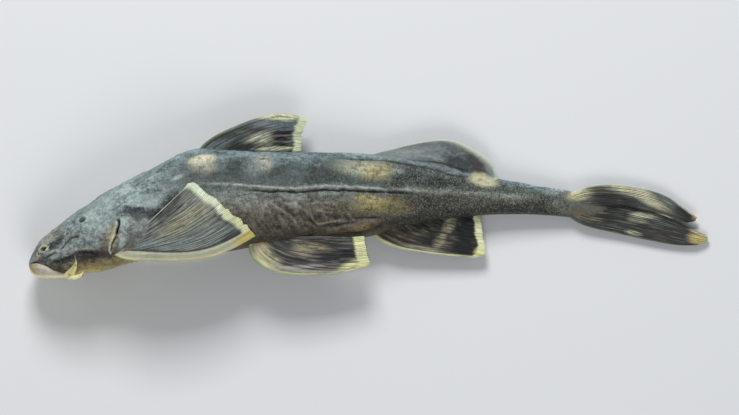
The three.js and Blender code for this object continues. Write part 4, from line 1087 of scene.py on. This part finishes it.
dorsal = make_fin(
    "dorsal_fin",
    lead=[(46.6, 35.0), (49.2, 38.2), (52.9, 40.7), (57.4, 42.8), (64.1, 45.3), (70.8, 46.5), (77.9, 45.3)],
    trail=[(68.5, 34.6), (72.4, 35.4), (76.2, 36.2)],
    root=[(46.6, 35.0), (57.0, 33.9), (68.5, 34.6)],
    margin=[(77.9, 45.3), (77.6, 43.5), (76.3, 40.5), (76.2, 36.2)],
    rays=8, columns=200, rows=80, thickness=[(0, 2.6), (0.25, 1.5), (0.6, 0.8), (1, 0.45)],
    relief=0.16, fringe=0.4, spine=0.3, fillet=0.6, seed=31,
    height=lambda x, y, u, v: middle_line(x) - 1.6 * u * u + 0.5 * np.sin(2 * np.pi * v) * u)
dorsal.data.materials.append(fin_material(
    "dorsal fin skin", (44, 48, 48), [
        ((56.5, 40.4), 6.0, 2.2, 30, (72, 81, 80), 0.6, 1.4),
        ((64.8, 39.6), 4.6, 1.8, 8, (180, 182, 160), 0.94, 2.0),
        ((60.4, 37.2), 4.4, 1.2, 10, (24, 27, 27), 0.85, 1.4),
        ((70.4, 39.2), 4.6, 3.0, 0, (112, 116, 106), 0.8, 1.2),
        ((69.2, 43.9), 6.6, 1.6, 2, (104, 116, 120), 0.9, 1.4),
        ((71.0, 41.1), 2.9, 0.65, 2, (14, 14, 22), 0.97, 0.5),
        ((70.8, 39.5), 2.5, 0.75, 0, (12, 12, 20), 0.97, 0.5),
        ((70.6, 37.9), 2.5, 0.6, -4, (8, 8, 16), 0.97, 0.5),
        ((69.4, 36.7), 5.6, 0.5, 2, (186, 188, 160), 0.9, 0.6),
        ((71.0, 40.3), 2.6, 0.22, 2, (92, 96, 100), 0.7, 0.4),
        ((71.6, 42.5), 2.8, 0.7, 4, (104, 116, 122), 0.85, 0.6),
        ((52.4, 37.2), 3.6, 1.5, 24, (90, 101, 101), 0.85, 1.2),
        ("from_lead", -9.0, 0.7, 0.4, 0.9, (108, 118, 96), 0.75),
        ((70.8, 45.7), 8.2, 1.0, -2, (206, 210, 172), 1.0, 0.5),
        ("to_margin", -9.0, 2.3, 0.6, 1.6, (208, 217, 182), 1.0),
    ], rays=6.0, seed=1.0, contrast=2.2, bare=(0.06, 0.2)))


# Adipose fin: a low ridge of fat under skin, with no rays, grown out of the back behind the dorsal
# fin. It thins to a pale rim, and the drying has left a crease along its foot.
adipose = make_fin(
    "adipose_fin",
    lead=[(95.5, 33.4), (96.6, 35.1)],
    trail=[(129.0, 26.6), (131.2, 28.2)],
    root=[(95.5, 33.4), (110.0, 31.0), (129.0, 26.6)],
    margin=[(96.6, 35.1), (106.1, 37.8), (117.0, 39.2), (124.2, 36.6), (130.0, 32.3), (131.2, 28.2)],
    rays=2, columns=220, rows=60, thickness=[(0, 5.4), (0.3, 3.0), (0.6, 1.5), (0.85, 0.8), (1, 0.45)],
    fringe=0.12, wave=0.25, fillet=2.2, fleshy=True, seed=32,
    creases=[([(97.0, 33.9), (103.9, 33.4), (109.5, 33.2), (115.1, 32.6), (119.3, 31.3), (123.5, 30.1)],
              0.3, 0.25, 0.8),
             ([(108.0, 34.6), (113.0, 34.2), (118.0, 32.6)], 0.5, -0.2, -0.4)],
    height=lambda x, y, u, v: middle_line(x) + 0.6 * u * np.sin(x / 9))
adipose.data.materials.append(skin_material)


# Anal fin: nine forked rays under the tail stem, dried nearly shut. Brown-grey, with a pale band,
# a black band and a cream margin along its straight hind edge.
anal = make_fin(
    "anal_fin",
    lead=[(94.5, 14.0), (97.4, 11.3), (100.4, 9.7), (104.4, 8.4), (113.4, 7.1), (125.0, 6.0)],
    trail=[(120.5, 19.4), (123.6, 18.8), (126.4, 17.8)],
    root=[(94.5, 14.0), (108.1, 17.4), (120.5, 19.4)],
    margin=[(125.0, 6.0), (127.4, 7.1), (127.7, 9.4), (127.0, 13.3), (126.4, 17.8)],
    rays=10, columns=220, rows=76, thickness=[(0, 2.6), (0.25, 1.5), (0.6, 0.8), (1, 0.45)],
    relief=0.13, fringe=0.35, spine=0.2, fillet=0.6, seed=33,
    height=lambda x, y, u, v: middle_line(x) - 0.5 * u + 0.4 * np.sin(3 * np.pi * v) * u)
anal.data.materials.append(fin_material(
    "anal fin skin", (54, 52, 45), [
        ((112.0, 16.4), 5.0, 1.6, 8, (26, 26, 19), 0.85, 1.2),
        ((102.0, 12.6), 6.0, 1.4, -20, (92, 74, 56), 0.7, 1.4),
        ((108.5, 10.0), 5.0, 1.2, -16, (34, 34, 32), 0.7, 1.8),
        ((110.5, 8.6), 6.0, 0.9, -10, (140, 134, 116), 0.8, 1.6),
        ((117.8, 15.4), 2.8, 1.3, 66, (150, 146, 114), 0.88, 1.8),
        ((115.4, 11.4), 3.4, 1.2, 56, (134, 128, 106), 0.8, 2.0),
        ((122.4, 12.4), 7.0, 2.8, 82, (13, 15, 19), 0.97, 0.6),
        ("from_lead", -9.0, 1.3, 0.5, 1.2, (204, 202, 160), 0.9),
        ("to_margin", -9.0, 2.1, 0.4, 1.3, (222, 226, 182), 1.0),
        ((126.4, 7.6), 1.6, 1.4, 0, (226, 226, 160), 0.9, 0.4),
    ], rays=7.0, seed=3.0, contrast=3.6, lines=0.8, gleam=0.26, bare=(0.06, 0.24)))


# Tail fin: two lobes of closely set forked rays, folded together so that the upper lies over the
# lower. Dark at the root, cream patches across the middle, grey streaks and orange-cream tips.
LOBE_LIFT = 0.55
LOBE_THICKNESS = [(0, 3.6), (0.14, 2.3), (0.3, 1.3), (0.6, 0.7), (1, 0.4)]
upper_lobe = make_fin(
    "tail_lobe_upper",
    lead=[(151.5, 24.2), (156.4, 26.2), (162.7, 26.8), (171.1, 25.9), (178.1, 23.9), (182.8, 20.8),
          (187.3, 17.4)],
    trail=[(153.0, 21.0), (165.5, 20.6), (173.9, 19.0), (180.0, 17.2), (184.6, 15.9)],
    root=[(151.5, 24.2), (152.4, 22.6), (153.0, 21.0)],
    margin=[(187.3, 17.4), (186.6, 16.4), (184.6, 15.9)],
    rays=9, columns=170, rows=130, thickness=LOBE_THICKNESS, relief=0.12, fringe=0.3, fillet=0.8, seed=34,
    height=lambda x, y, u, v: middle_line(x) + LOBE_LIFT * (0.2 + v) * np.minimum(3 * u, 1))
lower_lobe = make_fin(
    "tail_lobe_lower",
    lead=[(150.0, 18.7), (153.7, 16.0), (158.2, 14.4), (165.5, 12.8), (175.3, 10.7), (182.3, 9.6),
          (187.0, 9.6)],
    trail=[(152.5, 21.4), (165.5, 21.7), (175.3, 19.0), (181.2, 16.4), (185.0, 14.6), (187.3, 13.3)],
    root=[(150.0, 18.7), (151.6, 20.0), (152.5, 21.4)],
    margin=[(187.0, 9.6), (190.0, 10.6), (189.9, 12.3), (187.3, 13.3)],
    rays=11, columns=200, rows=130, thickness=LOBE_THICKNESS, relief=0.12, fringe=0.3, fillet=0.8, seed=35,
    height=lambda x, y, u, v: middle_line(x) - LOBE_LIFT * (0.2 + v) * np.minimum(3 * u, 1))
upper_lobe.data.materials.append(fin_material(
    "upper tail lobe skin", (84, 88, 83), TAIL_ROOT + [
        ((163.2, 22.3), 7.0, 2.5, -8, (40, 39, 38), 0.95, 1.2),
        ((166.5, 19.9), 7.0, 1.0, -8, (20, 21, 22), 0.9, 0.9),
        ((168.6, 25.0), 5.6, 1.3, -8, (206, 200, 162), 0.9, 1.6),
        ((173.4, 22.7), 6.6, 1.5, -30, (222, 218, 184), 0.92, 1.8),
        ((180.0, 22.0), 5.0, 1.8, -42, (126, 138, 134), 0.85, 1.4),
        ((183.4, 18.4), 3.4, 1.3, -42, (56, 52, 45), 0.85, 1.0),
        # A painted highlight along the top edge of the lobe
        ("from_lead", -9.0, 0.4, 0.3, 0.4, (206, 218, 212), 0.85),
        # Painted highlight: a white gleam along the lower edge of the upper lobe
        ((178.4, 17.7), 1.9, 0.28, -18, (238, 240, 234), 0.9, 0.4),
        ((187.6, 17.5), 1.7, 0.8, 10, (214, 182, 104), 0.97, 0.4),
    ], rays=6.0, seed=4.0, lines=0.8, contrast=3.0))
lower_lobe.data.materials.append(fin_material(
    "lower tail lobe skin", (58, 61, 58), TAIL_ROOT + [
        ((164.0, 18.0), 5.0, 2.4, -10, (46, 47, 45), 0.85, 1.2),
        ((172.6, 17.9), 4.0, 0.8, -6, (206, 207, 178), 0.97, 1.2),
        ((170.8, 16.6), 2.6, 0.6, -10, (150, 152, 128), 0.85, 1.6),
        ((169.4, 13.1), 2.4, 0.5, -12, (186, 198, 160), 0.92, 0.9),
        ((175.2, 12.8), 3.0, 0.7, -12, (90, 70, 62), 0.6, 2.0),
        ((178.0, 16.0), 5.0, 1.3, -14, (92, 95, 91), 0.6, 1.6),
        ("from_lead", -9.0, 0.4, 0.3, 0.6, (104, 106, 80), 0.6),
        ("from_trail", -9.0, 0.35, 0.3, 0.4, (118, 126, 118), 0.5),
        ((188.4, 11.4), 3.4, 1.8, -8, (246, 226, 154), 0.97, 0.5),
        ((187.6, 13.3), 2.4, 0.5, -16, (232, 230, 190), 0.9, 0.5),
        ((189.6, 11.2), 0.8, 1.6, 0, (224, 226, 150), 0.8, 0.5),
    ], rays=7.0, seed=5.0, lines=0.8, contrast=3.2, gleam=0.3))


# Pectoral fins: broad fans behind the gills, each led by one thick pale ray, with a fluted cream
# margin. The left one dried over the flank and the right one was pressed on the table beneath.
PECTORAL_LIFT = 0.9
PECTORAL_WRAP = 1.5
PRESSED_FIN = 0.45


def over_flank(x, y, u, v):
    top, bottom, fullest, half, middle = section_at(x)
    bend = np.minimum(np.abs(y - fullest) / (PECTORAL_WRAP * (top - fullest)), 0.95)
    free = np.clip((u - 0.2 * v) / (0.15 + 0.2 * v), 0, 1)  # 0 where it lies under the skin
    lift = PECTORAL_LIFT * (0.6 + 1.3 * v) * free - 1.6 * (1 - free)
    return middle + (half + lift) * np.sqrt(1 - bend * bend)


PECTORAL = dict(
    lead=[(24.2, 7.0), (27.5, 5.7), (33.9, 5.2), (43.7, 5.2), (51.2, 6.3), (57.7, 8.9), (63.6, 12.2)],
    trail=[(28.0, 10.4), (32.0, 14.4), (35.7, 17.9), (39.6, 21.5), (43.4, 25.1), (44.8, 26.9)],
    root=[(24.2, 7.0), (26.4, 8.4), (28.0, 10.4)],
    margin=[(63.6, 12.2), (60.7, 15.5), (57.0, 18.5), (53.0, 22.2), (48.9, 25.1), (46.6, 27.0), (44.8, 26.9)],
    rays=15, thickness=[(0, 1.7), (0.4, 1.1), (1, 0.5)], relief=0.15, fringe=0.5, spine=0.4, firm=2.3,
    seed=36)
pectoral_material = fin_material(
    "pectoral fin skin", (120, 124, 116), [
        ((30.5, 12.4), 5.0, 4.6, 0, (108, 110, 108), 0.85, 0.9),
        ((38.0, 9.8), 9.0, 2.2, 0, (126, 137, 135), 0.75, 1.2),
        ((39.6, 20.2), 5.4, 2.8, 46, (66, 69, 66), 0.85, 1.3),
        ((45.0, 17.0), 9.0, 2.4, 34, (152, 149, 126), 0.75, 1.4),
        ((52.0, 12.4), 7.0, 2.8, 8, (116, 125, 121), 0.7, 1.2),
        ((57.6, 12.2), 4.8, 1.5, 22, (54, 54, 52), 0.85, 0.9),
        ((54.5, 17.6), 4.0, 1.2, -42, (84, 90, 86), 0.7, 1.2),
        # Painted shadow: a dark band just behind the pale leading ray
        ("from_lead", 2.7, 3.3, 0.35, 0.6, (52, 54, 54), 0.85),
        ("from_lead", -9.0, 2.6, 0.25, 0.4, (186, 188, 158), 0.97),
        ("from_lead", 0.8, 1.9, 0.4, 0.5, (158, 156, 138), 0.85),
        ("from_lead", -9.0, 0.5, 0.3, 0.4, (206, 202, 150), 0.8),
        ((28.6, 9.8), 1.8, 1.2, 40, (120, 122, 116), 0.9, 0.6),
        ("to_margin", -9.0, 2.2, 0.8, 2.2, (216, 225, 196), 0.98),
        ((58.6, 16.8), 6.0, 1.6, -44, (208, 206, 150), 0.7, 0.5),
        ((61.4, 11.6), 4.0, 1.8, 38, (188, 174, 96), 0.95, 0.4),
        ("from_trail", -9.0, 0.28, 0.12, 0.0, (186, 196, 184), 0.85),
    ], rays=11.0, seed=6.0, contrast=2.3, lines=0.5, bare=(0.1, 0.3))
left_pectoral = make_fin("pectoral_fin_left", columns=400, rows=110, height=over_flank, wave=0.22, **PECTORAL)
right_pectoral = make_fin("pectoral_fin_right", columns=200, rows=60, wave=0.0, **PECTORAL,
                          height=lambda x, y, u, v: PRESSED_FIN + 2.2 * np.maximum(1 - 4 * u, 0) ** 2)
for fin in (left_pectoral, right_pectoral):
    fin.data.materials.append(pectoral_material)


# Pelvic fins: a pair of fans under the belly, shaped like the pectorals and pale round three
# sides. The left one stands over the right one, which spreads towards the table.
PELVIC_SPREAD = 5.4
PELVIC = dict(
    lead=[(61.6, 11.2), (62.0, 7.2), (65.0, 3.9), (69.4, 2.0), (75.9, 1.2), (83.7, 1.4), (90.4, 2.6)],
    trail=[(69.0, 12.6), (78.7, 12.3), (89.9, 12.0), (93.8, 12.2)],
    root=[(61.6, 11.2), (65.2, 12.2), (69.0, 12.6)],
    margin=[(90.4, 2.6), (94.9, 4.1), (94.9, 6.9), (94.1, 9.7), (93.8, 12.2)],
    rays=7, thickness=[(0, 1.8), (0.4, 1.1), (1, 0.5)], relief=0.17, fringe=0.35, spine=0.3, firm=2.4,
    seed=37)
pelvic_material = fin_material(
    "pelvic fin skin", (78, 76, 73), [
        ((72.0, 9.8), 5.0, 1.8, -10, (58, 60, 57), 0.8, 1.4),
        ((76.6, 7.6), 4.0, 0.9, -12, (136, 126, 108), 0.75, 2.6),
        ((85.6, 7.4), 6.4, 2.6, -6, (30, 31, 40), 0.9, 1.2),
        ((84.0, 10.6), 6.0, 1.1, -3, (46, 44, 42), 0.8, 1.0),
        ((78.8, 9.0), 4.6, 1.3, -4, (142, 134, 110), 0.85, 2.2),
        ("from_lead", 1.4, 3.2, 0.6, 1.2, (156, 152, 144), 0.85),
        ((65.4, 7.4), 2.6, 3.4, 0, (184, 176, 142), 0.85, 0.8),
        ((67.4, 5.0), 3.0, 2.2, -20, (176, 172, 140), 0.85, 0.8),
        ("from_lead", -9.0, 1.3, 0.4, 0.7, (176, 180, 134), 0.95),
        ((75.6, 3.6), 8.0, 0.5, 4, (180, 174, 170), 0.5, 0.8),
        ((91.0, 4.2), 5.0, 1.3, 18, (204, 202, 152), 0.9, 1.0),
        ("to_margin", -9.0, 3.1, 0.5, 1.2, (216, 217, 164), 1.0),
    ], rays=6.0, seed=7.0, contrast=4.0, lines=0.8, gleam=0.3, bare=(0.04, 0.2))
left_pelvic = make_fin(
    "pelvic_fin_left", columns=240, rows=100, **PELVIC,
    height=lambda x, y, u, v: middle_line(x) + PELVIC_SPREAD + 1.1 * u - 1.2 * (1 - v) * u)
right_pelvic = make_fin(
    "pelvic_fin_right", columns=150, rows=64, wave=0.0, **PELVIC,
    height=lambda x, y, u, v: np.maximum(middle_line(x) - PELVIC_SPREAD - 3.4 * u, PRESSED_FIN))
for fin in (left_pelvic, right_pelvic):
    fin.data.materials.append(pelvic_material)


# Setting: a plain pale table top, a soft lamp beyond the back of the fish and a weaker one on the
# side of the belly, and a camera straight above with a long lens. Its lengths are in metres.
HALF_TABLE = 4
table_corners = [(HALF_TABLE * a, HALF_TABLE * b, 0) for a, b in ((-1, -1), (1, -1), (1, 1), (-1, 1))]
floor_mesh = bpy.data.meshes.new("table_top")
floor_mesh.from_pydata(table_corners, [], [(0, 1, 2, 3)])
floor = bpy.data.objects.new("table_top", floor_mesh)
bpy.context.scene.collection.objects.link(floor)
floor_material, tree, surface = new_material("pale table top")
surface.inputs["Base Color"].default_value = (0.74, 0.75, 0.76, 1)
surface.inputs["Roughness"].default_value = 0.85
floor_mesh.materials.append(floor_material)


def lamp(name, place, size, power, aim=(0, 0, 0.01)):
    """A square lamp turned towards the fish."""
    light = bpy.data.lights.new(name, "AREA")
    light.size = size
    light.energy = power
    holder = bpy.data.objects.new(name, light)
    holder.location = place
    gap = np.array(aim) - np.array(place)
    holder.rotation_euler = (
        math.atan2(math.hypot(gap[0], gap[1]), -gap[2]), 0, math.atan2(gap[1], gap[0]) - math.pi / 2)
    bpy.context.scene.collection.objects.link(holder)


lamp("lamp_over_back", place=(-0.10, 0.62, 0.62), size=0.30, power=6.0)
lamp("lamp_front", place=(0.10, -0.62, 0.70), size=0.5, power=2.6)
world = bpy.data.worlds.new("studio")
bpy.context.scene.world = world
world.use_nodes = True
world.node_tree.nodes["Background"].inputs[0].default_value = (0.9, 0.95, 1.0, 1)
world.node_tree.nodes["Background"].inputs[1].default_value = 0.28
bpy.context.scene.view_settings.view_transform = "Standard"

PICTURE_WIDTH = 206.9 * MM  # what the picture spans at the height of the fish
PICTURE_MIDDLE = (0.0002, -0.0031)
FISH_HEIGHT = 0.008
LENS = 500.0  # millimetres, as is the sensor
SENSOR = 36.0
camera = bpy.data.cameras.new("camera")
camera.lens = LENS
camera.sensor_width = SENSOR
camera.clip_end = 20
camera_seat = bpy.data.objects.new("camera", camera)
camera_seat.location = (*PICTURE_MIDDLE, FISH_HEIGHT + PICTURE_WIDTH * LENS / SENSOR)
bpy.context.scene.collection.objects.link(camera_seat)
bpy.context.scene.camera = camera_seat
